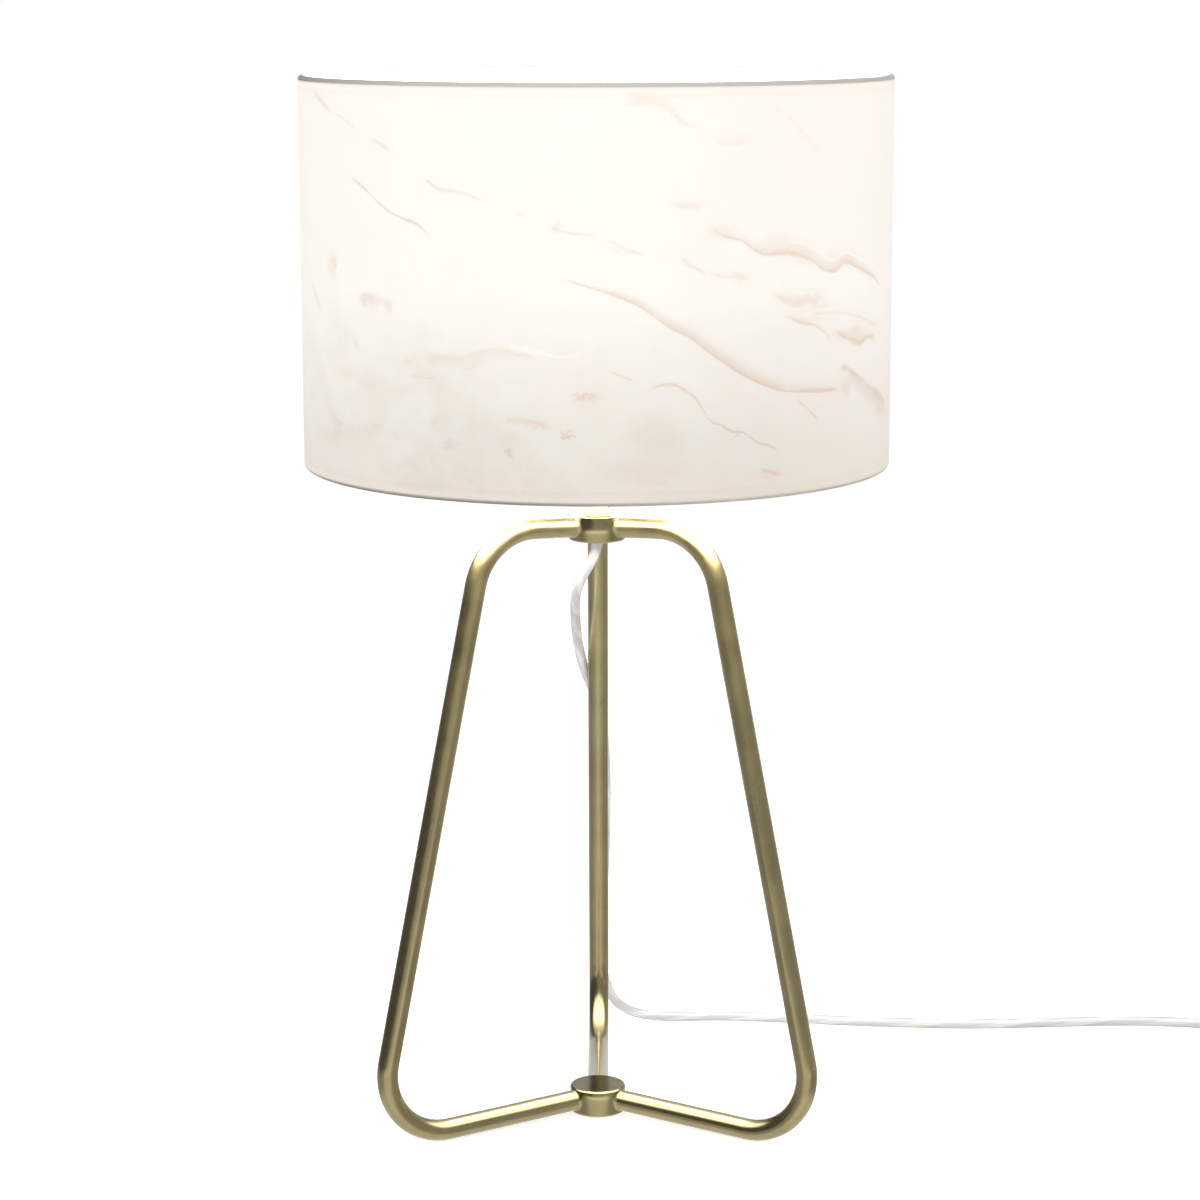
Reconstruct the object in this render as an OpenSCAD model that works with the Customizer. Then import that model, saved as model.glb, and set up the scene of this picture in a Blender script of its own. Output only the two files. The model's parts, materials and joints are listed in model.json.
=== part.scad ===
// Table lamp on a three legged tube frame with a drum shade.
// The frame is two turned hubs joined by three bent tubes. The upper hub carries
// a threaded nipple, a screw lampholder, a lamp bulb and the shade on its fitter ring.
// The lead drops out of the upper hub, lies down the rear leg and runs along the
// table to a rocker switch, a tied coil and a two pin plug.
// The origin is on the lamp's axis at table level, with the rear leg towards +Y.

/* [Stand] */
// Outer diameter of the leg tubes
tube_d = 11; // [9:0.5:13]
// Wall thickness of the leg tubes
tube_wall = 1.2; // [0.8:0.1:2]
// Centre line radius of the tube bends
bend_r = 34; // [28:1:38]
// Lamp axis to the centre of the shoulder bends
shoulder_r = 37.8; // [34:0.2:45]
// Underside of the upper hub to the centre of the shoulder bends
shoulder_drop = 25.3; // [24:0.1:27]
// Lamp axis to the centre of the foot bends, where the feet touch the table
foot_r = 90.4; // [80:0.2:100]
// Angle by which the top tubes rise outward, in degrees
top_rise = 2.9; // [0:0.1:4]
// Angle by which the floor tubes rise inward, in degrees
floor_rise = 1.9; // [0:0.1:2.5]
// Diameter of both hubs
hub_d = 29.5; // [28:0.5:32]
// Height of both hubs
hub_h = 14; // [13:0.5:16]
// Table to the underside of the lower hub
low_hub_z = 0.8; // [0.4:0.1:1.2]
// Table to the underside of the upper hub
top_hub_z = 309.6; // [308:0.1:311]
// Chamfer on the rims of the hubs
hub_chamfer = 0.8; // [0.4:0.1:1.2]

/* [Neck and lampholder] */
// Thread diameter of the nipple
nipple_d = 10; // [10:0.1:10]
// Wire way through the nipple
nipple_bore = 8; // [7.6:0.1:8]
// Outer diameter of the neck sleeve
neck_d = 13; // [12:0.5:15]
// Length of the neck sleeve
neck_h = 13; // [11:0.5:14]
// Outer diameter of the lampholder's cap
holder_d = 40; // [39:0.5:41]
// Height of the lampholder's cap
cap_h = 20; // [19:0.5:22]
// Outer diameter over the shade thread of the lampholder
shade_thread_d = 39.6; // [39:0.1:39.8]
// Height of the lampholder's upper body
holder_body_h = 37; // [36:0.5:38]

/* [Shade] */
// Outer diameter of the drum shade
shade_d = 300; // [290:2:310]
// Height of the drum shade
shade_h = 197.5; // [190:0.5:210]
// Seat of the shade's fitter ring to the lower edge of the shade
shade_drop = 13.6; // [11:0.1:16]
// Thickness of the printed cover
cover_t = 0.5; // [0.3:0.1:0.6]
// Thickness of the stiff liner behind the cover
liner_t = 0.6; // [0.4:0.1:0.8]
// Diameter of the rim wires
rim_wire_d = 3; // [2.6:0.2:3.2]
// Diameter of the three spider arms
arm_d = 2.8; // [2.4:0.1:2.8]
// Height of the hem that is folded over the rims, on the inside
hem_h = 6.5; // [5:0.5:10]

/* [Bulb] */
// Largest diameter of the bulb
bulb_d = 60; // [55:1:62]
// Overall length of the bulb
bulb_h = 110; // [104:1:115]

/* [Cord, switch and plug] */
// Diameter of the clear round lead
cord_d = 5.4; // [5:0.1:6]
// Length of the switch housing
switch_l = 60; // [56:1:64]
// Width of the switch housing
switch_w = 27; // [25:0.5:30]
// Height of the switch housing
switch_h = 19; // [18:0.5:20]
// Rocker travel from on to off, in degrees
rocker_travel = 16; // [12:1:18]
// Width of the plug body
plug_w = 35.3; // [34:0.1:35.3]
// Thickness of the plug body
plug_t = 13.7; // [13:0.1:13.7]
// Distance between the two plug pins
pin_pitch = 18.6; // [18:0.1:19]

/* [Hidden] */
$fn = 96;
hair = 0.04;
leg_azimuths = [210, 330, 90];
arm_azimuths = [30, 150, 270];

// Stand, derived
shoulder_z = top_hub_z - shoulder_drop;
foot_z = tube_d / 2 + bend_r;
leg_slant = atan2(foot_r - shoulder_r, shoulder_z - foot_z);
leg_run = norm([foot_r - shoulder_r, shoulder_z - foot_z]);
top_run = (shoulder_r - bend_r * sin(top_rise)) / cos(top_rise);
floor_run = (foot_r - bend_r * sin(floor_rise)) / cos(floor_rise);
tube_bore = tube_d - 2 * tube_wall;
bend_lap = 0.8;

// Recess under the upper hub, with the nut and washer that hold the nipple
recess_d = 21;
recess_h = 5;
recess_z = top_hub_z + recess_h;
washer_d = 18;
washer_t = 0.8;
nut_af = 14;
nut_t = 3;
nut_z = recess_z - washer_t - nut_t;
thread_gap = 0.1;

// Heights up the lamp's axis
neck_z = top_hub_z + hub_h;
cap_z = neck_z + neck_h;
body_z = cap_z + cap_h;
nipple_z = nut_z - 0.6;
nipple_top = cap_z + 6.5;

// Bushing that guides the lead out of the nipple
bushing_flange_d = 12;
bushing_flange_t = 1.2;
bushing_h = 9;
cord_gap = 0.1;

// Lampholder
boss_d = 16;
cap_wall = 2;
grub_d = 3;
grub_z = cap_z + 2.5;
flange_d = 44;
flange_z = body_z + 4.5;
flange_t = 2.5;
seat_z = flange_z + flange_t;
core_d = 35.6;
core_z = body_z - 3;
core_h = 8;
core_top = core_z + core_h;
shell_z = core_top;
shell_h = 30;
shell_wall = 0.45;
shell_root_r = 13.95;
shell_crest_r = 13.35;
screw_pitch = 3.63;
shade_thread_pitch = 2.5;
shade_thread_depth = 0.5;
body_bore_d = 30.4;
terminal_x = 9;
terminal_size = [6.5, 8, 7];
terminal_z = core_z - terminal_size[2];
core_wire_d = 2.2;

// Bulb
bulb_z = core_top + 8;
bulb_top = bulb_z + bulb_h;
globe_r = bulb_d / 2;
globe_z = bulb_top - globe_r;
globe_t = 1.2;
globe_cut_drop = 11.5;
globe_cut_z = globe_z - globe_cut_drop;
globe_cut_r = sqrt(globe_r * globe_r - globe_cut_drop * globe_cut_drop);
bulb_crest_r = 13.1;
bulb_root_r = 12.4;
insulator_z = bulb_z + 1.4;
bulb_shell_z = insulator_z + 3.6;
bulb_shell_top = bulb_shell_z + 18;
housing_wall = 2;
housing_foot_r = 13.6;
housing_foot_h = 5;
housing_waist_r = 17;
housing_waist_h = 11;
board_t = 1.6;

// Shade
shade_z = seat_z - shade_drop;
shade_r = shade_d / 2;
shade_top = shade_z + shade_h;
wrap_r = rim_wire_d / 2 + cover_t;
rim_r = shade_r - wrap_r;
rim_low_z = shade_z + wrap_r;
rim_top_z = shade_top - wrap_r;
liner_r = shade_r - cover_t;
liner_bore_r = liner_r - liner_t;
wall_inset = wrap_r + 2.5;
fitter_d = 56;
fitter_bore = 41;
fitter_t = 2;
fitter_z = seat_z;
arm_inner_z = fitter_z + fitter_t / 2;
clamp_ring_d = 54;
clamp_ring_z = fitter_z + fitter_t;
clamp_ring_flange = 2.5;
clamp_ring_h = 9;
clamp_collar_d = 46;
clamp_bore = shade_thread_d + 0.3;
clamp_grips = 24;

// Places of the switch, the coil and the plug, to the right of the lamp
lie = cord_d / 2;
run_x = 390;
switch_y = 56;
switch_axis_z = 9;
cord_in_switch = 8;
coil_y = -30;
coil_turns = 5;
coil_in_r = 21.8;
coil_pitch = 6.2;
coil_layer = 6;
coil_round = 0.1;
tie_t = 0.8;
tie_w = 8;
coil_z = lie + tie_t;
coil_r0 = coil_in_r + coil_pitch * norm([coil_turns / 2, coil_round]);
coil_x = run_x + coil_r0;
coil_rings = 24;
coil_sides = 6;
cord_sides = 10;
plug_axis_z = plug_t / 2;
plug_body_l = 37;
plug_relief_l = 25;
plug_relief_y = coil_y - 28;
plug_body_y = plug_relief_y - plug_relief_l;
plug_face_y = plug_body_y - plug_body_l;
pin_l = 19;
pin_d = 4;
pin_sleeve_l = 10;
pin_sleeve_d = 3.4;
pin_core_d = 2.8;
switch_front_y = switch_y + switch_l / 2;
switch_back_y = switch_y - switch_l / 2;

// Route of the lead from inside the nipple, round the rear leg, to the switch
lead_route = [
    [0, 0, neck_z - 1.6], [0, 0, top_hub_z - 0.4], [-1.6, 0.9, top_hub_z - 8.6],
    [-6, 3.6, shoulder_z + 7.9], [-9.8, 9.8, shoulder_z - 0.7], [-11.5, 20, shoulder_z - 8.9],
    [-11.9, 34, shoulder_z - 17.3], [-11.9, 49, shoulder_z - 25.8],
    [-11.5, 64, shoulder_z - 35.3], [-10.6, 78.5, shoulder_z - 46.8],
    [-7.6, 90.6, shoulder_z - 62],
    [-1.8, 98.5, 205], [2.6, 103, 184], [4, 108, 160], [4, 113, 136], [3.5, 118.5, 112],
    [2.5, 124, 88], [1, 129.5, 66], [1.2, 134.5, 46], [3.6, 139.2, 29], [9.4, 144, 15.5],
    [19.6, 148.8, 7.2], [33, 152.4, 3.6], [50, 154.2, lie], [70, 155, lie], [92, 153, lie],
    [116, 150, lie], [140, 146, lie], [165, 143, lie], [190, 141, lie], [215, 140, lie],
    [240, 141, lie], [265, 143, lie], [290, 145, lie], [315, 145, lie], [340, 142, lie],
    [362, 134, 3], [379, 119, 5], [389, 102, 8], [run_x, switch_front_y, switch_axis_z],
    [run_x, switch_front_y - cord_in_switch, switch_axis_z]
];
// Route from the switch down to the start of the coil
coil_lead_route = [
    [run_x, switch_back_y + cord_in_switch, switch_axis_z],
    [run_x, switch_back_y, switch_axis_z],
    [run_x, 14, 8], [run_x, 2, 5.5], [run_x, -10, 4],
    [run_x, coil_y + 2 * cord_d, coil_z], [run_x, coil_y + cord_d, coil_z]
];
// Route from the end of the coil to the strain relief of the plug
plug_lead_route = [
    [run_x, coil_y - cord_d, coil_z + coil_layer],
    [run_x, coil_y - 2 * cord_d, coil_z + coil_layer],
    [run_x, coil_y - 18, 8.3],
    [run_x, plug_relief_y + 5, plug_axis_z],
    [run_x, plug_relief_y, plug_axis_z]
];

// Colours as the photograph shows them
brass_colour = [0.60, 0.54, 0.38];
steel_colour = [0.72, 0.72, 0.70];
bright_brass = [0.80, 0.66, 0.35];
holder_colour = [0.93, 0.93, 0.90];
porcelain_colour = [0.96, 0.95, 0.92];
shade_colour = [0.93, 0.90, 0.84];
liner_colour = [0.97, 0.96, 0.93];
bulb_colour = [0.98, 0.98, 0.96];
clear_colour = [0.86, 0.85, 0.86];
wire_brown = [0.45, 0.28, 0.18];

// Vector and route functions
function unit(v) = v / norm(v);
function spline_point(a, b, c, d, t) =
    0.5 * (2 * b + (c - a) * t + (2 * a - 5 * b + 4 * c - d) * t * t
    + (3 * b - a - 3 * c + d) * t * t * t);
function smooth_route(p, steps) = [
    for (i = [0 : len(p) - 2], s = [0 : steps - 1])
        spline_point(
            i == 0 ? 2 * p[0] - p[1] : p[i - 1], p[i], p[i + 1],
            i == len(p) - 2 ? 2 * p[i + 1] - p[i] : p[i + 2], s / steps),
    p[len(p) - 1]
];
function tangents(p) = [
    for (i = [0 : len(p) - 1]) unit(p[min(i + 1, len(p) - 1)] - p[max(i - 1, 0)])
];
function carried_normals(t, first) = [
    for (i = 0, n = first; i < len(t); i = i + 1,
        n = i < len(t) ? unit(n - (n * t[i]) * t[i]) : n) n
];
function sum_lengths(p) = len(p) < 2 ? 0 : [
    for (i = 1, s = norm(p[1] - p[0]); i < len(p); i = i + 1,
        s = i < len(p) ? s + norm(p[i] - p[i - 1]) : s) s
][len(p) - 2];

// Points of the coil: it spirals in on the table and out again one layer up
function coil_climb(t) = let (s = min(max((t - coil_turns / 2 + 0.25) / 0.5, 0), 1))
    s * s * (3 - 2 * s);
function coil_point(t) = let (
    r = coil_in_r + coil_pitch * norm([t - coil_turns / 2, coil_round]),
    a = 180 + 360 * t)
    [coil_x + r * cos(a), coil_y + r * sin(a), coil_z + coil_layer * coil_climb(t)];
coil_route = concat(
    [[run_x, coil_y + cord_d, coil_z]],
    [for (i = [0 : coil_turns * coil_rings]) coil_point(i / coil_rings)],
    [[run_x, coil_y - cord_d, coil_z + coil_layer]]);
// Least distance between points that are more than half a turn apart along the coil
coil_gap = min([
    for (i = [0 : len(coil_route) - 1], j = [i + coil_rings / 2 : 1 : len(coil_route) - 1])
        norm(coil_route[i] - coil_route[j])
]) - cord_d;

// Round tube swept along points, with sides flat faced triangles
module swept_tube(p, d, sides) {
    t = tangents(p);
    first = abs(t[0][0]) < 0.9 ? [1, 0, 0] : [0, 0, 1];
    u = carried_normals(t, unit(first - (first * t[0]) * t[0]));
    rings = [
        for (i = [0 : len(p) - 1], k = [0 : sides - 1])
            let (v = cross(t[i], u[i]), a = 360 * k / sides)
            p[i] + d / 2 * (cos(a) * u[i] + sin(a) * v)
    ];
    last = (len(p) - 1) * sides;
    skin = [
        for (i = [0 : len(p) - 2], k = [0 : sides - 1], h = [0, 1])
            let (a = i * sides + k, b = i * sides + (k + 1) % sides)
            h == 0 ? [a, a + sides, b] : [b, a + sides, b + sides]
    ];
    start_cap = [for (k = [1 : sides - 2]) [0, k, k + 1]];
    end_cap = [for (k = [1 : sides - 2]) [last, last + k + 1, last + k]];
    polyhedron(points = rings, faces = concat(skin, start_cap, end_cap), convexity = 8);
}

module ring(outer, inner, h) {
    difference() {
        cylinder(d = outer, h = h);
        translate([0, 0, -1])
            cylinder(d = inner, h = h + 2);
    }
}

// Rod from one point to another
module rod(a, b, d) {
    v = b - a;
    translate(a)
        rotate([0, acos(v[2] / norm(v)), atan2(v[1], v[0])])
            cylinder(d = d, h = norm(v));
}

// Rounded rectangle without offset, so that its corners stay true arcs
module round_rect(size, r) {
    square([size[0] - 2 * r, size[1]], center = true);
    square([size[0], size[1] - 2 * r], center = true);
    for (x = [-1, 1], y = [-1, 1])
        translate([x * (size[0] / 2 - r), y * (size[1] / 2 - r)])
            circle(r = r);
}

// Saw tooth outline of a rolled screw thread, from bottom to top
function thread_side(z, count, pitch, crest, root) = [
    for (i = [0 : count - 1], h = [0, 1])
        [h == 0 ? crest : root, z + (i + 0.25 + h * 0.5) * pitch]
];

// A leg is drawn in a plane: x is the distance from the axis, y is the height
module tube_stretch(start, angle, length) {
    translate([start[0], start[1], 0])
        rotate([0, 0, angle])
            rotate([0, 90, 0])
                ring(tube_d, tube_bore, length);
}

// A bend is thinner than the straight tube by a hair on every side, and reaches a
// little way into the wall of the straight tube at both ends, so that they join
module tube_bend(centre, from, sweep) {
    translate([centre[0], centre[1], 0])
        rotate([0, 0, from - bend_lap])
            rotate_extrude(angle = sweep + 2 * bend_lap)
                translate([bend_r, 0])
                    difference() {
                        circle(d = tube_d - 2 * hair);
                        circle(d = tube_bore + 2 * hair);
                    }
}

module leg_tube(azimuth) {
    shoulder = [shoulder_r, shoulder_z];
    foot = [foot_r, foot_z];
    side = [cos(leg_slant), sin(leg_slant)];
    color(brass_colour)
        difference() {
            rotate([0, 0, azimuth])
                rotate([90, 0, 0]) {
                    tube_stretch(shoulder + bend_r * [-sin(top_rise), cos(top_rise)],
                        180 + top_rise, top_run);
                    tube_bend(shoulder, leg_slant, 90 + top_rise - leg_slant);
                    tube_stretch(foot + bend_r * side, 90 + leg_slant, leg_run);
                    tube_bend(foot, -90 - floor_rise, 90 + floor_rise + leg_slant);
                    tube_stretch(foot - bend_r * [sin(floor_rise), cos(floor_rise)],
                        180 - floor_rise, floor_run);
                }
            translate([0, 0, top_hub_z - 5])
                cylinder(d = hub_d, h = hub_h + 10);
            translate([0, 0, low_hub_z - 5])
                cylinder(d = hub_d, h = hub_h + 10);
        }
}

module left_leg_tube() leg_tube(leg_azimuths[0]);
module right_leg_tube() leg_tube(leg_azimuths[1]);
module rear_leg_tube() leg_tube(leg_azimuths[2]);

module hub_blank() {
    r = hub_d / 2;
    c = hub_chamfer;
    rotate_extrude()
        polygon([[0, 0], [r - c, 0], [r, c], [r, hub_h - c], [r - c, hub_h], [0, hub_h]]);
}

module top_hub() {
    color(brass_colour)
        translate([0, 0, top_hub_z])
            difference() {
                hub_blank();
                translate([0, 0, -1])
                    cylinder(d = nipple_d + 2 * thread_gap, h = hub_h + 2);
                translate([0, 0, -1])
                    cylinder(d = recess_d, h = recess_h + 1);
            }
}

module bottom_hub() {
    color(brass_colour)
        translate([0, 0, low_hub_z])
            hub_blank();
}

module hub_washer() {
    color(steel_colour)
        translate([0, 0, recess_z - washer_t])
            ring(washer_d, nipple_d + 2 * thread_gap, washer_t);
}

module hub_lock_nut() {
    color(steel_colour)
        translate([0, 0, nut_z])
            difference() {
                cylinder(d = nut_af / cos(30), h = nut_t, $fn = 6);
                translate([0, 0, -1])
                    cylinder(d = nipple_d, h = nut_t + 2);
            }
}

module threaded_nipple() {
    color(steel_colour)
        translate([0, 0, nipple_z])
            ring(nipple_d, nipple_bore, nipple_top - nipple_z);
}

module cord_bushing() {
    bore = cord_d + 2 * cord_gap;
    color(clear_colour)
        translate([0, 0, nipple_z - bushing_flange_t]) {
            ring(bushing_flange_d, bore, bushing_flange_t);
            translate([0, 0, bushing_flange_t])
                ring(nipple_bore, bore, bushing_h);
        }
}

module neck_sleeve() {
    color(brass_colour)
        translate([0, 0, neck_z])
            ring(neck_d, nipple_d + 0.4, neck_h);
}

module lampholder_cap() {
    r = holder_d / 2;
    b = boss_d / 2;
    bore = nipple_d / 2 + 0.05;
    w = cap_wall;
    color(holder_colour)
        difference() {
            translate([0, 0, cap_z])
                rotate_extrude()
                    polygon([
                        [bore, 0], [b, 0], [b, 3.5], [r - 5, 7], [r - 1.5, 10], [r, 13.5],
                        [r, cap_h], [r - w, cap_h], [r - w, 14], [r - w - 1.2, 11],
                        [r - w - 4, 8.8], [bore + 1.5, 5.5], [bore, 5.5]
                    ]);
            translate([0, 0, grub_z])
                rotate([-90, 0, 0])
                    cylinder(d = grub_d, h = boss_d);
        }
}

module cap_grub_screw() {
    length = boss_d / 2 - nipple_d / 2 - 0.3;
    color(steel_colour)
        translate([0, nipple_d / 2 + 0.1, grub_z])
            rotate([-90, 0, 0])
                difference() {
                    cylinder(d = grub_d - 0.1, h = length);
                    translate([-grub_d, -0.25, length - 0.8])
                        cube([2 * grub_d, 0.5, 1]);
                }
}

module lampholder_core() {
    color(porcelain_colour)
        difference() {
            translate([0, 0, core_z])
                cylinder(d = core_d, h = core_h);
            for (x = [-1, 1])
                translate([x * terminal_x, 0, core_z - 1])
                    cylinder(d = 3.4, h = core_h + 2);
        }
}

module terminal_blocks() {
    color(bright_brass)
        for (x = [-1, 1])
            difference() {
                translate([x * terminal_x - terminal_size[0] / 2, -terminal_size[1] / 2, terminal_z])
                    cube(terminal_size);
                translate([x * terminal_x, 0, terminal_z - 1])
                    cylinder(d = core_wire_d + 0.2, h = 6);
                translate([x * terminal_x, -terminal_size[1], terminal_z + 3.5])
                    rotate([-90, 0, 0])
                        cylinder(d = 3, h = terminal_size[1]);
            }
}

module terminal_screws() {
    depth = terminal_size[1] / 2 - core_wire_d / 2 - 0.1;
    color(steel_colour)
        for (x = [-1, 1])
            translate([x * terminal_x, -terminal_size[1] / 2 + depth, terminal_z + 3.5])
                rotate([90, 0, 0])
                    difference() {
                        union() {
                            cylinder(d = 2.9, h = depth);
                            translate([0, 0, depth])
                                cylinder(d = 4.6, h = 1.8);
                        }
                        translate([-3, -0.35, depth + 1])
                            cube([6, 0.7, 1]);
                    }
}

module core_wires() {
    foot = lead_route[0][2];
    color(wire_brown)
        for (x = [-1, 1])
            swept_tube(smooth_route([
                [x * 1.3, 0, foot], [x * 1.3, 0, foot + 8], [x * 1.3, 0, terminal_z - 5],
                [x * 3.6, 0, terminal_z - 2], [x * 6.2, 0, terminal_z - 1.4],
                [x * terminal_x, 0, terminal_z - 1.7],
                [x * terminal_x, 0, terminal_z], [x * terminal_x, 0, terminal_z + 4]
            ], 3), core_wire_d, 8);
}

// Brass leaf spring: a foot on the core and a bent tongue under the bulb's tip
module centre_contact() {
    color(bright_brass)
        translate([-3, 0, core_top])
            rotate([90, 0, 90])
                linear_extrude(6)
                    polygon([
                        [-7, 0], [6, 0], [6, 0.6], [-5.6, 0.6], [3.2, 7.4], [4.2, 7.4],
                        [4.2, 8], [3, 8], [-7, 0.6]
                    ]);
}

module side_contact() {
    inner = shell_root_r + shell_wall;
    color(bright_brass)
        translate([inner, -2, core_top])
            cube([0.6, 4, 9]);
}

module thread_shell() {
    root = shell_root_r;
    crest = shell_crest_r;
    count = 6;
    outer = root + shell_wall;
    rise = 3;
    color(bright_brass)
        translate([0, 0, shell_z])
            rotate_extrude()
                polygon(concat(
                    [[outer, 0], [outer, shell_h], [root, shell_h]],
                    [for (i = [2 * count - 1 : -1 : 0])
                        thread_side(rise, count, screw_pitch, crest, root)[i]],
                    [[root, rise], [root, 0]]));
}

module lampholder_body() {
    r = holder_d / 2;
    crest = shade_thread_d / 2;
    root = crest - shade_thread_depth;
    top = holder_body_h;
    bore = body_bore_d / 2;
    count = 9;
    core_r = core_d / 2 + 0.1;
    shoulder = core_top - body_z;
    color(holder_colour)
        translate([0, 0, body_z])
            rotate_extrude()
                polygon(concat(
                    [[core_r, 0], [r, 0], [r, flange_z - body_z],
                        [flange_d / 2, flange_z - body_z], [flange_d / 2, seat_z - body_z],
                        [root, seat_z - body_z]],
                    thread_side(seat_z - body_z + 1, count, shade_thread_pitch, crest, root),
                    [[root, top - 1], [root - 1, top], [bore, top], [bore, shoulder],
                        [core_r, shoulder]]));
}

module fitter_ring() {
    color(steel_colour)
        translate([0, 0, fitter_z])
            ring(fitter_d, fitter_bore, fitter_t);
}

module rim_wire(z) {
    translate([0, 0, z])
        rotate_extrude()
            translate([rim_r, 0])
                circle(d = rim_wire_d);
}

module arm_rods(d) {
    for (a = arm_azimuths)
        rotate([0, 0, a])
            rod([fitter_bore / 2 + 2, 0, arm_inner_z], [rim_r - 0.5, 0, rim_low_z], d);
}

module spider_arms() {
    color(steel_colour)
        difference() {
            arm_rods(arm_d);
            translate([0, 0, fitter_z - 10])
                cylinder(d = fitter_d, h = 20);
            rim_wire(rim_low_z);
        }
}

module shade_bottom_wire() {
    color(steel_colour)
        rim_wire(rim_low_z);
}

module shade_top_wire() {
    color(steel_colour)
        rim_wire(rim_top_z);
}

module shade_liner() {
    color(liner_colour)
        translate([0, 0, shade_z + wall_inset])
            ring(2 * liner_r, 2 * liner_bore_r, shade_h - 2 * wall_inset);
}

module shade_cover() {
    color(shade_colour)
        translate([0, 0, shade_z + wall_inset])
            ring(shade_d, 2 * liner_r, shade_h - 2 * wall_inset);
}

// Fold of cover fabric round a rim wire, seen as a section with the wire at the origin
module hem_section(up) {
    edge = shade_r - rim_r;
    foot = wall_inset - wrap_r;
    inside = liner_bore_r - rim_r;
    difference() {
        union() {
            circle(r = wrap_r);
            translate([inside, up > 0 ? -foot : 0])
                square([edge - inside, foot]);
            translate([inside - cover_t, up > 0 ? wrap_r - hem_h : 0])
                square([cover_t, hem_h - wrap_r]);
        }
        circle(d = rim_wire_d);
    }
}

module hem(z, up) {
    translate([0, 0, z])
        rotate_extrude()
            translate([rim_r, 0])
                hem_section(up);
}

module shade_top_hem() {
    color(shade_colour)
        hem(rim_top_z, 1);
}

module shade_bottom_hem() {
    color(shade_colour)
        difference() {
            hem(rim_low_z, -1);
            arm_rods(arm_d + 0.2);
        }
}

module shade_clamp_ring() {
    color(holder_colour)
        translate([0, 0, clamp_ring_z])
            difference() {
                union() {
                    cylinder(d = clamp_ring_d, h = clamp_ring_flange);
                    cylinder(d = clamp_collar_d, h = clamp_ring_h);
                }
                translate([0, 0, -1])
                    cylinder(d = clamp_bore, h = clamp_ring_h + 2);
                for (i = [0 : clamp_grips - 1])
                    rotate([0, 0, 360 * i / clamp_grips])
                        translate([clamp_collar_d / 2 + 0.5, 0, clamp_ring_flange])
                            cylinder(d = 2.4, h = clamp_ring_h);
            }
}

module bulb_tip_contact() {
    h = insulator_z - bulb_z;
    color(steel_colour)
        translate([0, 0, bulb_z])
            rotate_extrude()
                polygon([[0, 0], [3.5, 0], [4.6, 0.7], [4.6, h], [0, h]]);
}

module bulb_insulator() {
    h = bulb_shell_z - insulator_z;
    color([0.15, 0.15, 0.15])
        translate([0, 0, insulator_z])
            rotate_extrude()
                polygon([[0, 0], [5.5, 0], [bulb_root_r - 1.5, h], [0, h]]);
}

module bulb_screw_shell() {
    h = bulb_shell_top - bulb_shell_z;
    count = 4;
    wall = 0.5;
    color(steel_colour)
        translate([0, 0, bulb_shell_z])
            rotate_extrude()
                polygon(concat(
                    [[0, 0], [bulb_root_r - 1.5, 0], [bulb_root_r, 1.5]],
                    thread_side(1.5, count, screw_pitch, bulb_crest_r, bulb_root_r),
                    [[bulb_root_r, h], [bulb_root_r - wall, h], [bulb_root_r - wall, 1.6],
                        [0, 1.6]]));
}

module bulb_housing() {
    w = housing_wall;
    top = globe_cut_z - bulb_shell_top;
    r = globe_cut_r;
    h = housing_waist_h;
    color(bulb_colour)
        translate([0, 0, bulb_shell_top])
            rotate_extrude()
                polygon([
                    [bulb_root_r - 0.4, 0], [housing_foot_r, 0], [housing_foot_r, housing_foot_h],
                    [housing_waist_r, h], [r - 2.5, top - h], [r, top],
                    [r - w, top], [r - w, top - board_t], [r - w - 1.2, top - board_t],
                    [r - w - 3.2, top - h], [housing_waist_r - w, h + 1],
                    [bulb_root_r - 0.4, housing_foot_h + 1]
                ]);
}

module bulb_led_board() {
    color([0.95, 0.95, 0.95])
        translate([0, 0, globe_cut_z - board_t])
            cylinder(r = globe_cut_r - housing_wall - 0.1, h = board_t);
}

module bulb_globe() {
    color(bulb_colour)
        translate([0, 0, globe_z])
            difference() {
                sphere(r = globe_r);
                sphere(r = globe_r - globe_t);
                translate([-globe_r, -globe_r, globe_cut_z - globe_z - bulb_d])
                    cube([bulb_d, bulb_d, bulb_d]);
            }
}

lead_points = smooth_route(lead_route, 2);
coil_lead_points = smooth_route(coil_lead_route, 1);
plug_lead_points = smooth_route(plug_lead_route, 1);

module cord_lead() {
    color(clear_colour)
        swept_tube(lead_points, cord_d, cord_sides);
}

module cord_coil_lead() {
    color(clear_colour)
        swept_tube(coil_lead_points, cord_d, cord_sides);
}

module cord_coil() {
    color(clear_colour)
        swept_tube(coil_route, cord_d, coil_sides);
}

module cord_plug_lead() {
    color(clear_colour)
        swept_tube(plug_lead_points, cord_d, cord_sides);
}

// Band round all the turns of the coil, on the side away from its ends
module cord_tie() {
    room = 0.4;
    inner_r = coil_in_r - lie - room;
    outer_r = coil_in_r + 2.05 * coil_pitch + lie + room;
    inner_h = coil_layer + cord_d + room;
    mid = (inner_r + outer_r) / 2;
    span = outer_r - inner_r;
    color([0.15, 0.15, 0.16])
        translate([coil_x + mid, coil_y + tie_w / 2, tie_t + inner_h / 2])
            rotate([90, 0, 0])
                linear_extrude(tie_w)
                    difference() {
                        round_rect([span + 2 * tie_t, inner_h + 2 * tie_t], 2);
                        round_rect([span, inner_h], 1.2);
                    }
}

// Switch, drawn with its middle at the origin and its length along Y
switch_wall = 2;
switch_round = 8;
switch_split = switch_axis_z;
cord_hole_d = cord_d + 0.4;
pivot_z = 14.5;
pivot_d = 3;
pivot_reach = 8;
rocker_r = 10.5;
rocker_w = 11.4;
rocker_rise = 4.7;
rocker_gap = 0.4;
screw_y = 21;

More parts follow.
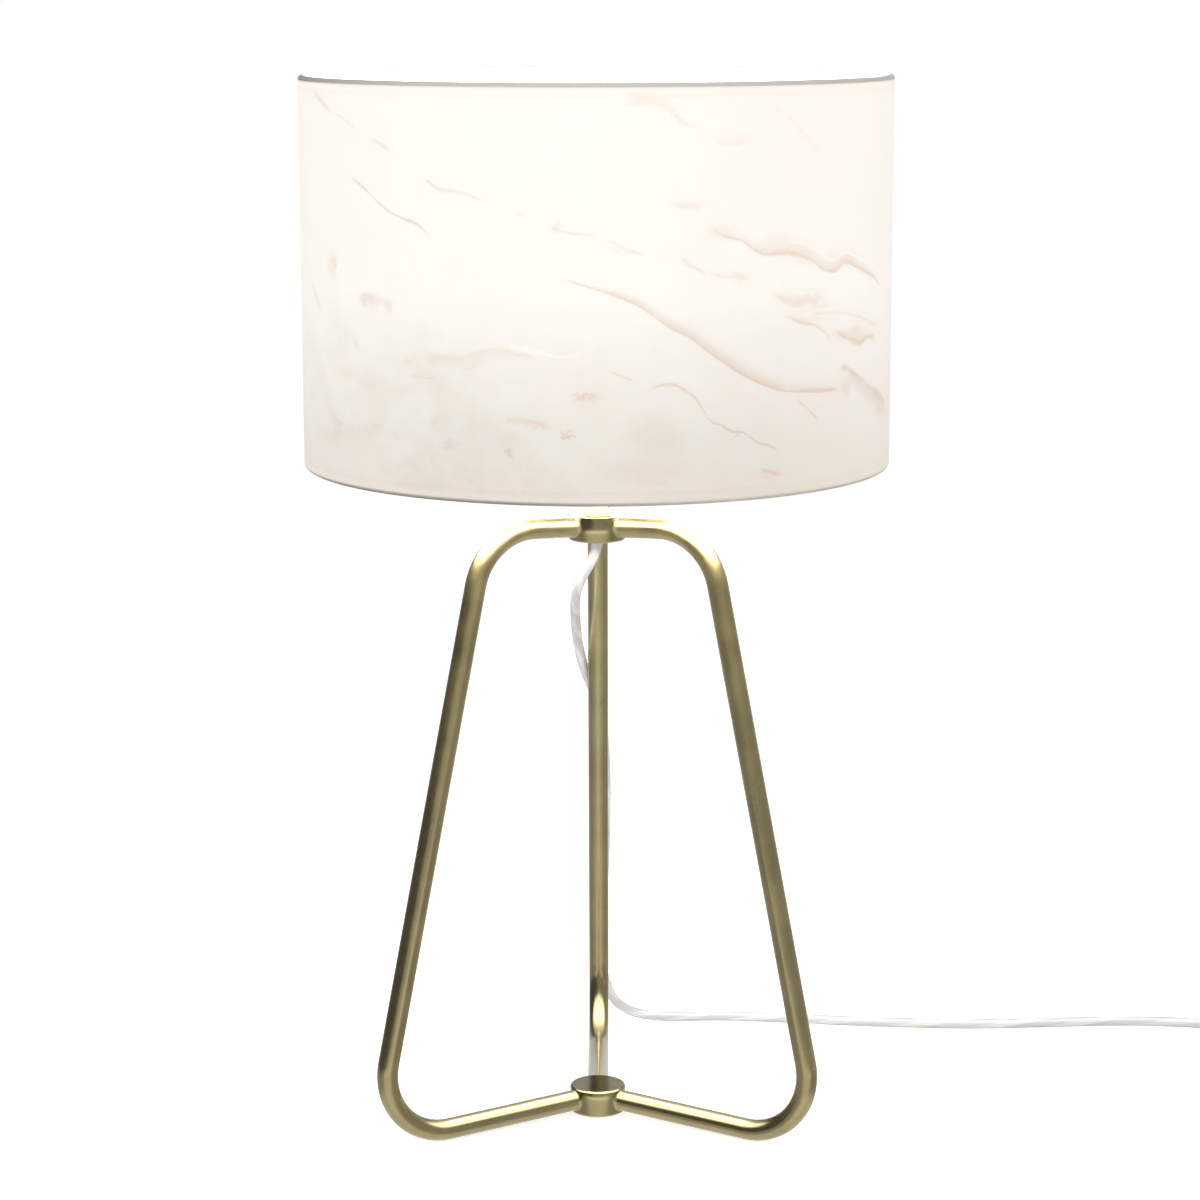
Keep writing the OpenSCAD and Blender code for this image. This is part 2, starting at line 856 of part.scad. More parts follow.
module switch_place() {
    translate([run_x, switch_y, 0])
        children();
}

module switch_block(z0, z1, inset) {
    translate([0, 0, z0])
        linear_extrude(z1 - z0)
            round_rect([switch_w - 2 * inset, switch_l - 2 * inset], switch_round - inset);
}

module cord_holes() {
    translate([0, -switch_l / 2 - 1, switch_axis_z])
        rotate([-90, 0, 0])
            cylinder(d = cord_hole_d, h = switch_l + 2);
}

module switch_base() {
    color(bulb_colour)
        switch_place()
            difference() {
                union() {
                    difference() {
                        switch_block(0, switch_split, 0);
                        switch_block(switch_wall, switch_split + 1, switch_wall);
                    }
                    for (y = [-screw_y, screw_y], x = [-1, 1])
                        translate([x * 7.5, y, 0])
                            cylinder(d = 5, h = switch_split);
                }
                cord_holes();
                for (x = [-1, 1])
                    translate([x * 7.5, x * screw_y, -1]) {
                        cylinder(d = 2.8, h = switch_split + 2);
                        cylinder(d = 4.4, h = 3);
                    }
            }
}

module switch_cover() {
    window = [rocker_w + 0.6, 2 * (rocker_r + rocker_gap)];
    ear_x = rocker_w / 2 + 0.3;
    color(bulb_colour)
        switch_place()
            difference() {
                union() {
                    difference() {
                        switch_block(switch_split, switch_h, 0);
                        switch_block(switch_split - 1, switch_h - switch_wall, switch_wall);
                    }
                    for (x = [-1, 1])
                        translate([x > 0 ? ear_x : -ear_x - 2.6, -3, pivot_z - 3])
                            cube([2.6, 6, switch_h - switch_wall - pivot_z + 3]);
                    for (x = [-1, 1])
                        translate([x * 7.5, x * screw_y, switch_split])
                            cylinder(d = 5, h = switch_h - switch_split);
                }
                cord_holes();
                translate([-window[0] / 2, -window[1] / 2, switch_split - 1])
                    cube([window[0], window[1], switch_h]);
                translate([-pivot_reach - 2, 0, pivot_z])
                    rotate([0, 90, 0])
                        cylinder(d = pivot_d + 0.1, h = 2 * pivot_reach + 4);
                for (x = [-1, 1])
                    translate([x * 7.5, x * screw_y, switch_split - 1])
                        cylinder(d = 2.2, h = 7);
            }
}

// Rocker at rest in its on position, tilted by half of its travel
module switch_rocker() {
    tilt = rocker_travel / 2;
    peak = rocker_rise + rocker_r * tan(tilt);
    color([0.9, 0.9, 0.88])
        switch_place()
            translate([0, 0, pivot_z])
                rotate([tilt, 0, 0]) {
                    intersection() {
                        translate([-rocker_w / 2, 0, 0])
                            rotate([90, 0, 90])
                                linear_extrude(rocker_w)
                                    polygon([
                                        [-rocker_r, -2], [-rocker_r * 0.6, -3.4], [rocker_r * 0.6, -3.4],
                                        [rocker_r, -2], [rocker_r, peak], [0, rocker_rise], [-rocker_r, peak]
                                    ]);
                        translate([-rocker_w, 0, 0])
                            rotate([0, 90, 0])
                                cylinder(r = rocker_r, h = 2 * rocker_w);
                    }
                    translate([-pivot_reach, 0, 0])
                        rotate([0, 90, 0])
                            cylinder(d = pivot_d, h = 2 * pivot_reach);
                }
}

module switch_contacts() {
    color(bright_brass)
        switch_place()
            for (y = [-1, 1]) {
                translate([-3, y * 9 - 4, switch_wall])
                    cube([6, 8, 0.8]);
                translate([-3, y > 0 ? 12.2 : -13, switch_wall])
                    cube([6, 0.8, 5]);
            }
}

// Bars across the lead inside each end of the switch
module switch_clamps() {
    color(bulb_colour)
        switch_place()
            for (y = [-1, 1])
                translate([-5, y * (switch_l / 2 - 6) - 2, switch_wall])
                    cube([10, 4, switch_axis_z - cord_d / 2 - switch_wall]);
}

module switch_screws() {
    color(steel_colour)
        switch_place()
            for (x = [-1, 1])
                translate([x * 7.5, x * screw_y, 0.5])
                    difference() {
                        union() {
                            cylinder(d = 4.2, h = 1.5);
                            cylinder(d = 2.2, h = switch_split + 4.5);
                        }
                        translate([-0.4, -3, -0.2])
                            cube([0.8, 6, 1]);
                    }
}

// Plug, with its pins pointing towards -Y
module plug_outline() {
    w = plug_w / 2;
    polygon([
        [-8, plug_body_y], [-w, plug_body_y - 14], [-w, plug_face_y + 3], [-w + 3, plug_face_y],
        [w - 3, plug_face_y], [w, plug_face_y + 3], [w, plug_body_y - 14], [8, plug_body_y]
    ]);
}

module plug_side() {
    translate([-plug_w, plug_face_y, 0])
        rotate([90, 0, 90])
            linear_extrude(2 * plug_w)
                polygon([
                    [0, 1], [1, 0], [plug_body_l - 14, 0], [plug_body_l, 2], [plug_body_l, plug_t - 2],
                    [plug_body_l - 14, plug_t], [1, plug_t], [0, plug_t - 1]
                ]);
}

module plug_body() {
    color(clear_colour)
        translate([run_x, 0, 0])
            difference() {
                intersection() {
                    linear_extrude(plug_t)
                        plug_outline();
                    plug_side();
                }
                for (x = [-1, 1])
                    translate([x * pin_pitch / 2, plug_face_y - 1, plug_axis_z])
                        rotate([-90, 0, 0])
                            cylinder(d = pin_sleeve_d, h = 13);
            }
}

module plug_strain_relief() {
    wide = 9.5;
    narrow = cord_d + 1.4;
    color(clear_colour)
        translate([run_x, plug_relief_y, plug_axis_z])
            rotate([90, 0, 0])
                difference() {
                    cylinder(d1 = narrow, d2 = wide, h = plug_relief_l);
                    for (i = [0 : 3])
                        translate([0, 0, 4 + 5 * i])
                            ring(2 * wide, narrow - 0.4 + 0.5 * i, 1.6);
                }
}

module plug_pins() {
    color(bright_brass)
        for (x = [-1, 1])
            translate([run_x + x * pin_pitch / 2, plug_face_y, plug_axis_z])
                rotate([90, 0, 0]) {
                    translate([0, 0, -11])
                        cylinder(d = pin_core_d, h = 11 + pin_sleeve_l);
                    translate([0, 0, pin_sleeve_l])
                        cylinder(d = pin_d, h = pin_l - pin_sleeve_l - 1);
                    translate([0, 0, pin_l - 1])
                        cylinder(d1 = pin_d, d2 = pin_d - 1.6, h = 1);
                }
}

module plug_pin_sleeves() {
    color([0.2, 0.2, 0.2])
        for (x = [-1, 1])
            translate([run_x + x * pin_pitch / 2, plug_face_y, plug_axis_z])
                rotate([90, 0, 0])
                    translate([0, 0, -12])
                        difference() {
                            cylinder(d = pin_sleeve_d, h = 12 + pin_sleeve_l);
                            translate([0, 0, 1])
                                cylinder(d = pin_core_d, h = 12 + pin_sleeve_l);
                        }
}

echo(str("lead length ", sum_lengths(lead_points)));
echo(str("coil length ", sum_lengths(coil_route)));
echo(str("short leads ", sum_lengths(coil_lead_points) + sum_lengths(plug_lead_points)));
echo(str("least gap between the coil's turns ", coil_gap));

left_leg_tube();
right_leg_tube();
rear_leg_tube();
top_hub();
bottom_hub();
hub_washer();
hub_lock_nut();
threaded_nipple();
cord_bushing();
neck_sleeve();
lampholder_cap();
cap_grub_screw();
lampholder_core();
terminal_blocks();
terminal_screws();
core_wires();
centre_contact();
side_contact();
thread_shell();
lampholder_body();
fitter_ring();
spider_arms();
shade_bottom_wire();
shade_top_wire();
shade_liner();
shade_cover();
shade_top_hem();
shade_bottom_hem();
shade_clamp_ring();
bulb_tip_contact();
bulb_insulator();
bulb_screw_shell();
bulb_housing();
bulb_led_board();
bulb_globe();
cord_lead();
cord_coil_lead();
cord_coil();
cord_plug_lead();
cord_tie();
switch_base();
switch_cover();
switch_rocker();
switch_contacts();
switch_clamps();
switch_screws();
plug_body();
plug_strain_relief();
plug_pins();
plug_pin_sleeves();
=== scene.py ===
"""Looks of a table lamp: a drum shade on a three legged tube frame.

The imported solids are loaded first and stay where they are. The pieces that show most are
modelled again here with rounded edges and weld seams, the clear lead is one curve along the
route of its solids, and every piece gets a node material for its own finish.
Lengths are in metres. X points right, Y to the rear leg and Z up from the table.
"""

import json
import math

import bmesh
import bpy
from mathutils import Matrix, Vector


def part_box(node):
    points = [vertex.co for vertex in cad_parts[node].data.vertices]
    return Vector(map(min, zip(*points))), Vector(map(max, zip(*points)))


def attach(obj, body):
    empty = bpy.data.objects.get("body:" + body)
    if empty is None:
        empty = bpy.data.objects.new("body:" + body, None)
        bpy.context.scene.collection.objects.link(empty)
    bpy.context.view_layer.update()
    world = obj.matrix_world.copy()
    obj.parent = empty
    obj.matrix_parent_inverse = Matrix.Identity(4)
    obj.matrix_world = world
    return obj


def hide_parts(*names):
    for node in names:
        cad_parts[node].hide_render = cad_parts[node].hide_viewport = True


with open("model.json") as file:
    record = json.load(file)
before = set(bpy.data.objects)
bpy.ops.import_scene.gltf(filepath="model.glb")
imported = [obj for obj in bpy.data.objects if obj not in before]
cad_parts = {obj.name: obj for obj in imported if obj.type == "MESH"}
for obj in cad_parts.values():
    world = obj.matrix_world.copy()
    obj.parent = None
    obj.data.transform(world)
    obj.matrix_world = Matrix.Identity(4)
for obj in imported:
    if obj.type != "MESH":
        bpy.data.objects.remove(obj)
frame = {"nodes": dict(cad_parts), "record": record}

bl_info = {
    "name": "Table lamp",
    "version": (1, 0, 0),
    "blender": (4, 5, 0),
    "location": "View3D > Sidebar > Table lamp",
    "description": "Builds the looks of a table lamp with a drum shade",
    "category": "Object",
}

UP = Vector((0, 0, 1))
NODES = frame["nodes"]
COVER_LOW, COVER_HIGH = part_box("shade_cover")
RIM_LOW, RIM_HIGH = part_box("shade_bottom_hem")[0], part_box("shade_top_hem")[1]
TOP_HUB_LOW, TOP_HUB_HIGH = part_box("top_hub")
LOW_HUB_LOW, LOW_HUB_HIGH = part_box("bottom_hub")
NECK_LOW, NECK_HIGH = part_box("neck_sleeve")
GLOBE_LOW, GLOBE_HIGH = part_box("bulb_globe")
LEG_AZIMUTHS = {"left_leg": 210, "right_leg": 330, "rear_leg": 90}

# Small shapes, in metres
HUB_CHAMFER = 0.0008
HUB_BORE_RADIUS = 0.0051
HUB_RECESS_RADIUS = 0.0105
HUB_RECESS_DEPTH = 0.005
HUB_ROUNDING = 0.00018
NECK_BORE_RADIUS = 0.0052
NECK_ROUNDING = 0.0004
WELD_LEAST = 0.0006
WELD_SINK = 0.00005
CLOTH_THICKNESS = 0.0005
LAP_HEIGHT = 0.00035
GLUE_DEPTH = 0.0001
ROLL_RADIUS = 0.0020
GLOBE_WALL = 0.0012

# Other fixed values
WELD_ROWS = (0, 0.25, 0.5, 0.75, 1)
LAP_START = math.radians(88)
LAP_WIDTH = math.radians(4)
GLOBE_GLOW = 60
LINER_GLOW = 5.0
CAMERA_AIM_OFF = math.radians(0.052)
CAMERA_ROLL = math.radians(-0.08)
REAR_POWER = 4


# Sizes and colours that a user would change


class LampStandSettings(bpy.types.PropertyGroup):
    tube_diameter: bpy.props.FloatProperty(
        name="Tube diameter", description="Outer diameter of the leg tubes",
        default=0.011, min=0.006, unit="LENGTH")
    bend_radius: bpy.props.FloatProperty(
        name="Bend radius", description="Centre line radius of the tube bends",
        default=0.034, min=0.02, unit="LENGTH")
    shoulder_reach: bpy.props.FloatProperty(
        name="Shoulder reach", description="Lamp axis to the centre of the shoulder bends",
        default=0.0378, unit="LENGTH")
    shoulder_drop: bpy.props.FloatProperty(
        name="Shoulder drop",
        description="Underside of the upper hub to the centre of the shoulder bends",
        default=0.0253, unit="LENGTH")
    foot_reach: bpy.props.FloatProperty(
        name="Foot reach", description="Lamp axis to the centre of the foot bends",
        default=0.0904, unit="LENGTH")
    top_rise: bpy.props.FloatProperty(
        name="Top rise", description="Angle by which the top tubes rise outward",
        default=math.radians(2.9), subtype="ANGLE")
    floor_rise: bpy.props.FloatProperty(
        name="Floor rise", description="Angle by which the floor tubes rise inward",
        default=math.radians(1.9), subtype="ANGLE")
    weld_size: bpy.props.FloatProperty(
        name="Weld size", description="Throat of the weld seam at the sides of each tube",
        default=0.0017, min=0.0005, unit="LENGTH")
    brass_colour: bpy.props.FloatVectorProperty(
        name="Brass colour", description="Colour of the satin brass plating",
        default=(0.43, 0.36, 0.165), size=3, min=0, max=1, subtype="COLOR")
    # painted highlight: a pale colour on the brass neck stands for the bulb's light falling on it
    neck_painted_light_colour: bpy.props.FloatVectorProperty(
        name="Neck colour", description="Colour of the neck in the bulb's light",
        default=(0.82, 0.79, 0.70), size=3, min=0, max=1, subtype="COLOR")


class LampShadeSettings(bpy.types.PropertyGroup):
    ground_colour: bpy.props.FloatVectorProperty(
        name="Ground colour", description="Ivory ground of the printed cover",
        default=(0.87, 0.835, 0.79), size=3, min=0, max=1, subtype="COLOR")
    vein_colour: bpy.props.FloatVectorProperty(
        name="Vein colour", description="Beige of the printed marble veins",
        default=(0.66, 0.52, 0.42), size=3, min=0, max=1, subtype="COLOR")
    cloud_colour: bpy.props.FloatVectorProperty(
        name="Cloud colour", description="Grey beige of the soft clouds in the print",
        default=(0.70, 0.64, 0.58), size=3, min=0, max=1, subtype="COLOR")
    # painted shade: colour of the upper rim's shaded outer edge, not the cloth's own colour
    roll_shade_colour: bpy.props.FloatVectorProperty(
        name="Rolled edge colour", description="Colour of the cloth rolled round the rim wires",
        default=(0.42, 0.36, 0.37), size=3, min=0, max=1, subtype="COLOR")
    # painted shade: colour of the lower rim's shaded outer edge, not the cloth's own colour
    lower_roll_shade_colour: bpy.props.FloatVectorProperty(
        name="Lower rim colour", description="Darkest colour of the lower rolled rim",
        default=(0.36, 0.345, 0.285), size=3, min=0, max=1, subtype="COLOR")
    glow: bpy.props.FloatProperty(
        name="Glow", description="Light of the bulb that shows through the top of the cover",
        default=1.0, min=0, max=4)
    weave_pitch: bpy.props.FloatProperty(
        name="Weave pitch", description="Distance between the threads of the cover cloth",
        default=0.00055, min=0.0002, unit="LENGTH")


class LampCordSettings(bpy.types.PropertyGroup):
    diameter: bpy.props.FloatProperty(
        name="Diameter", description="Outer diameter of the clear lead",
        default=0.0054, min=0.003, unit="LENGTH")
    length: bpy.props.FloatProperty(
        name="Length", description="Real length of the lead from the hub to the plug",
        default=1.85, unit="LENGTH")
    strand_colour: bpy.props.FloatVectorProperty(
        name="Strand colour", description="Colour of the wires seen through the clear sheath",
        default=(0.84, 0.83, 0.88), size=3, min=0, max=1, subtype="COLOR")


class LampStageSettings(bpy.types.PropertyGroup):
    camera_distance: bpy.props.FloatProperty(
        name="Camera distance", description="Camera to the lamp's axis, measured level",
        default=1.6849, unit="LENGTH")
    camera_height: bpy.props.FloatProperty(
        name="Camera height", description="Table to the camera", default=0.5937, unit="LENGTH")
    camera_pitch: bpy.props.FloatProperty(
        name="Camera pitch", description="Angle by which the camera looks down",
        default=math.radians(10.63), subtype="ANGLE")
    camera_turn: bpy.props.FloatProperty(
        name="Camera turn", description="Angle of the camera round the lamp from the front",
        default=math.radians(0.34), subtype="ANGLE")
    key_power: bpy.props.FloatProperty(
        name="Key power", description="Power of the large soft lamp at the front right",
        default=10, unit="POWER")
    fill_power: bpy.props.FloatProperty(
        name="Fill power", description="Power of the soft lamp at the front left",
        default=6.5, unit="POWER")
    floor_colour: bpy.props.FloatVectorProperty(
        name="Floor colour", description="Colour of the plain floor",
        default=(0.8, 0.8, 0.8), size=3, min=0, max=1, subtype="COLOR")
    floor_lift: bpy.props.FloatProperty(
        name="Floor lift",
        description="White added to the floor for the camera alone, so that only shadows stay grey",
        default=0.69, min=0, max=1)
    world_level: bpy.props.FloatProperty(
        name="World level", description="Strength of the even light from all round",
        default=0.40, min=0)
    mirror_level: bpy.props.FloatProperty(
        name="Mirror level", description="Brightness of the room as the metal mirrors it",
        default=0.40, min=0)
    mirror_front: bpy.props.FloatProperty(
        name="Mirror front", description="Brightness of the table's front as the metal mirrors it",
        default=0.80, min=0)
    mirror_back: bpy.props.FloatProperty(
        name="Mirror back", description="Brightness of the backdrop as the metal mirrors it",
        default=0.35, min=0)
    mirror_ceiling: bpy.props.FloatProperty(
        name="Mirror ceiling", description="Brightness added overhead as the metal mirrors it",
        default=3.0, min=0)
    dark_side: bpy.props.FloatProperty(
        name="Dark side", description="Share of that brightness left on the left side",
        default=0.28, min=0, max=1)


# Short ways to make meshes and node trees


def as_mesh(name, bm):
    mesh = bpy.data.meshes.new(name)
    bm.to_mesh(mesh)
    bm.free()
    return mesh


def as_object(name, data):
    made = bpy.data.objects.new(name, data)
    bpy.context.scene.collection.objects.link(made)
    return made


def seat_piece(name, bm, finish, body, replaces, sharp, caps=False):
    """Turns a bmesh into a finished piece that rides on a body and stands for CAD nodes."""
    bm.normal_update()
    for face in bm.faces:
        face.smooth = not (caps and abs(face.normal.z) > 0.9999)
    for edge in bm.edges:
        edge.smooth = len(edge.link_faces) == 2 and edge.calc_face_angle(0) < math.radians(sharp)
    piece = as_object(name, as_mesh(name, bm))
    piece.data.materials.append(finish)
    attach(piece, body)
    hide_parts(*replaces)


def outline(bm, points, closed=False):
    """Chain of edges through points given as radius and height, in the XZ plane."""
    verts = [bm.verts.new((r, 0, z)) for r, z in points]
    edges = [bm.edges.new(pair) for pair in zip(verts, verts[1:])]
    if closed:
        edges.append(bm.edges.new((verts[-1], verts[0])))
    return verts, edges


def only(kind, made):
    return [g for g in made if isinstance(g, kind)]


def sweep(bm, verts, edges, centre, axis, angle, steps, **options):
    """Sweeps an outline round a centre and returns the edges at its end."""
    made = bmesh.ops.spin(bm, geom=verts + edges, cent=centre, axis=axis, dvec=(0, 0, 0),
                          angle=angle, steps=steps, use_duplicate=False, **options)
    return only(bmesh.types.BMEdge, made["geom_last"])


def turn_on_axis(points, steps=96, closed=False):
    """A closed skin, turned from an outline once round the lamp's axis."""
    bm = bmesh.new()
    verts, edges = outline(bm, points, closed)
    sweep(bm, verts, edges, (0, 0, 0), UP, 2 * math.pi, steps, use_merge=True)
    bmesh.ops.remove_doubles(bm, verts=bm.verts, dist=1e-6)
    bmesh.ops.recalc_face_normals(bm, faces=bm.faces)
    return bm


def round_edges(bm, width, segments=2):
    """Rounds every edge that is sharper than 25 degrees."""
    edges = [e for e in bm.edges if len(e.link_faces) == 2
             and e.calc_face_angle(0) > math.radians(25)]
    bmesh.ops.bevel(bm, geom=edges, offset=width, offset_type="OFFSET", segments=segments,
                    profile=0.5, affect="EDGES", material=-1, clamp_overlap=True)


class Tree:
    """A node tree being made."""

    def __init__(self, tree):
        self.nodes = tree.nodes
        self.links = tree.links

    def add(self, kind, **values):
        made = self.nodes.new(kind)
        for key, value in values.items():
            setattr(made, key, value)
        return made

    def plug(self, socket, value):
        if isinstance(value, bpy.types.NodeSocket):
            self.links.new(value, socket)
        elif hasattr(value, "__len__") and len(value) == 3 and socket.type == "RGBA":
            socket.default_value = (*value, 1)
        else:
            socket.default_value = value

    def wire(self, node, **values):
        """Plugs values into the sockets of those names."""
        for key, value in values.items():
            self.plug(node.inputs[key.replace("_", " ")], value)

    def calc(self, operation, *values):
        made = self.add("ShaderNodeMath", operation=operation)
        for socket, value in zip(made.inputs, values):
            self.plug(socket, value)
        return made.outputs[0]

    def plus(self, *values):
        return self.calc("ADD", *values)

    def minus(self, *values):
        return self.calc("SUBTRACT", *values)

    def times(self, *values):
        return self.calc("MULTIPLY", *values)

    def scaled(self, value, factor, offset):
        """The value times the factor, plus the offset."""
        return self.calc("MULTIPLY_ADD", value, factor, offset)

    def larger(self, *values):
        return self.calc("MAXIMUM", *values)

    def span(self, value, low, high, to_low=0.0, to_high=1.0, smooth=True):
        """A value's place between low and high, clamped, as a number from to_low to to_high."""
        made = self.add("ShaderNodeMapRange", clamp=True,
                        interpolation_type="SMOOTHSTEP" if smooth else "LINEAR")
        for socket, number in zip(made.inputs, (value, low, high, to_low, to_high)):
            self.plug(socket, number)
        return made.outputs[0]

    def mix(self, share, first, second, blend="MIX"):
        made = self.add("ShaderNodeMix", data_type="RGBA", blend_type=blend)
        self.plug(made.inputs[0], share)
        self.plug(made.inputs[6], first)
        self.plug(made.inputs[7], second)
        return made.outputs[2]

    def noise(self, scale, detail=3, roughness=0.5, distortion=0.0, stretch=None):
        place = self.place
        if stretch:
            mapping = self.add("ShaderNodeMapping")
            self.wire(mapping, Vector=place, Scale=stretch)
            place = mapping.outputs[0]
        made = self.add("ShaderNodeTexNoise")
        self.wire(made, Vector=place, Scale=scale, Detail=detail, Roughness=roughness,
                  Distortion=distortion)
        return made.outputs["Fac"]

    def split(self, vector=None):
        made = self.add("ShaderNodeSeparateXYZ")
        self.plug(made.inputs[0], vector or self.place)
        return made.outputs


class Finish(Tree):
    """A node material being made. Its patterns read the piece's own coordinates."""

    def __init__(self, name):
        self.material = bpy.data.materials.new(name)
        self.material.use_nodes = True
        super().__init__(self.material.node_tree)
        self.shader = self.nodes["Principled BSDF"]
        self.place = self.add("ShaderNodeTexCoord").outputs["Object"]

    def set(self, **values):
        self.wire(self.shader, **values)

    def bump(self, height, strength, distance):
        made = self.add("ShaderNodeBump")
        self.wire(made, Strength=strength, Distance=distance, Height=height)
        self.set(Normal=made.outputs[0])
        return self


# Finishes


def satin_brass(colour, name, roughness=0.18, upper=1.0):
    """Satin brass plating under clear lacquer, with fine cloudy polish marks. Its upper end may be
    duller than its foot."""
    f = Finish(name)
    cloud = f.noise(45, detail=4, roughness=0.6)
    hairs = f.noise(900, detail=2, stretch=(1, 1, 0.12))
    dark = [c * 0.90 for c in colour]
    pale = [min(1, c * 1.08 + 0.01) for c in colour]
    dull = f.span(f.split()[2], 0.08, 0.27, roughness, roughness * upper)
    worn = f.plus(f.span(cloud, 0.3, 0.7, 1.0, 1.25), f.span(hairs, 0.3, 0.7, 0.0, 0.15))
    f.set(Base_Color=f.mix(f.span(cloud, 0.3, 0.7), dark, pale), Metallic=1.0,
          Roughness=f.times(dull, worn), Coat_Weight=1.0, Coat_Roughness=0.18)
    return f.bump(hairs, 0.05, 0.00005).material


def plain_metal(name, colour, roughness):
    """Plated steel or brass with fine grain and a few duller spots."""
    f = Finish(name)
    cloud = f.noise(160, detail=4, roughness=0.65)
    grit = f.noise(1200, detail=2)
    dull = [c * 0.82 for c in colour]
    f.set(Base_Color=f.mix(f.span(cloud, 0.35, 0.7), dull, colour), Metallic=1.0,
          Roughness=f.plus(f.span(cloud, 0.3, 0.7, roughness * 0.8, roughness * 1.2),
                           f.span(grit, 0.3, 0.7, 0, 0.05)))
    return f.bump(grit, 0.08, 0.00005).material


def moulded(name, colour, roughness, coat=0.0, speck=0.97):
    """Moulded plastic or glazed ceramic with faint flow marks and a fine spark eroded grain."""
    f = Finish(name)
    flow = f.noise(60, detail=3)
    grain = f.noise(2600, detail=2)
    f.set(Base_Color=f.mix(f.span(flow, 0.3, 0.7), [c * speck for c in colour], colour),
          Roughness=f.span(flow, 0.3, 0.7, roughness * 0.9, roughness * 1.1), Coat_Weight=coat)
    return f.bump(grain, 0.12, 0.00004).material


def opal_glow():
    """Opal globe of a lamp bulb, lit from inside, a little brighter at its middle."""
    f = Finish("opal_globe")
    bright = f.span(f.split()[2], GLOBE_LOW.z, GLOBE_LOW.z + 0.012, 0.55, 1.0)
    frost = f.noise(500, detail=2)
    f.set(Base_Color=f.mix(f.span(frost, 0.3, 0.7), (0.93, 0.92, 0.88), (0.98, 0.97, 0.94)),
          Roughness=f.span(frost, 0.3, 0.7, 0.28, 0.36),
          Emission_Color=f.mix(bright, (1.0, 0.88, 0.72), (1.0, 0.95, 0.86)),
          Emission_Strength=GLOBE_GLOW)
    return f.bump(frost, 0.05, 0.00005).material


def clear_sheath(colour):
    """Clear glossy sheath over two twisted bright cores, seen as silvery stripes."""
    f = Finish("clear_pvc")
    along, around, _ = f.split(f.add("ShaderNodeTexCoord").outputs["UV"])
    twist = f.plus(f.times(along, 46.0), around)
    wave = f.calc("SINE", f.times(twist, 4 * math.pi))
    wires = f.plus(around, f.times(along, -300))
    strands = f.calc("SINE", f.times(wires, 60.0))
    bright = [min(1, c * 1.2 + 0.04) for c in colour]
    tone = f.mix(f.span(wave, -0.2, 0.7), colour, bright)
    tone = f.mix(f.span(strands, -1, 1, 0, 0.16), tone, (0.92, 0.90, 0.92))
    f.set(Base_Color=tone, Roughness=f.span(wave, -1, 1, 0.2, 0.3), Coat_Weight=1.0,
          Coat_Roughness=0.06)
    return f.material


# The printed cover. Places on the print are given in millimetres: the first number is the
# distance round the drum from the middle of its front, the second the height over its lower edge.

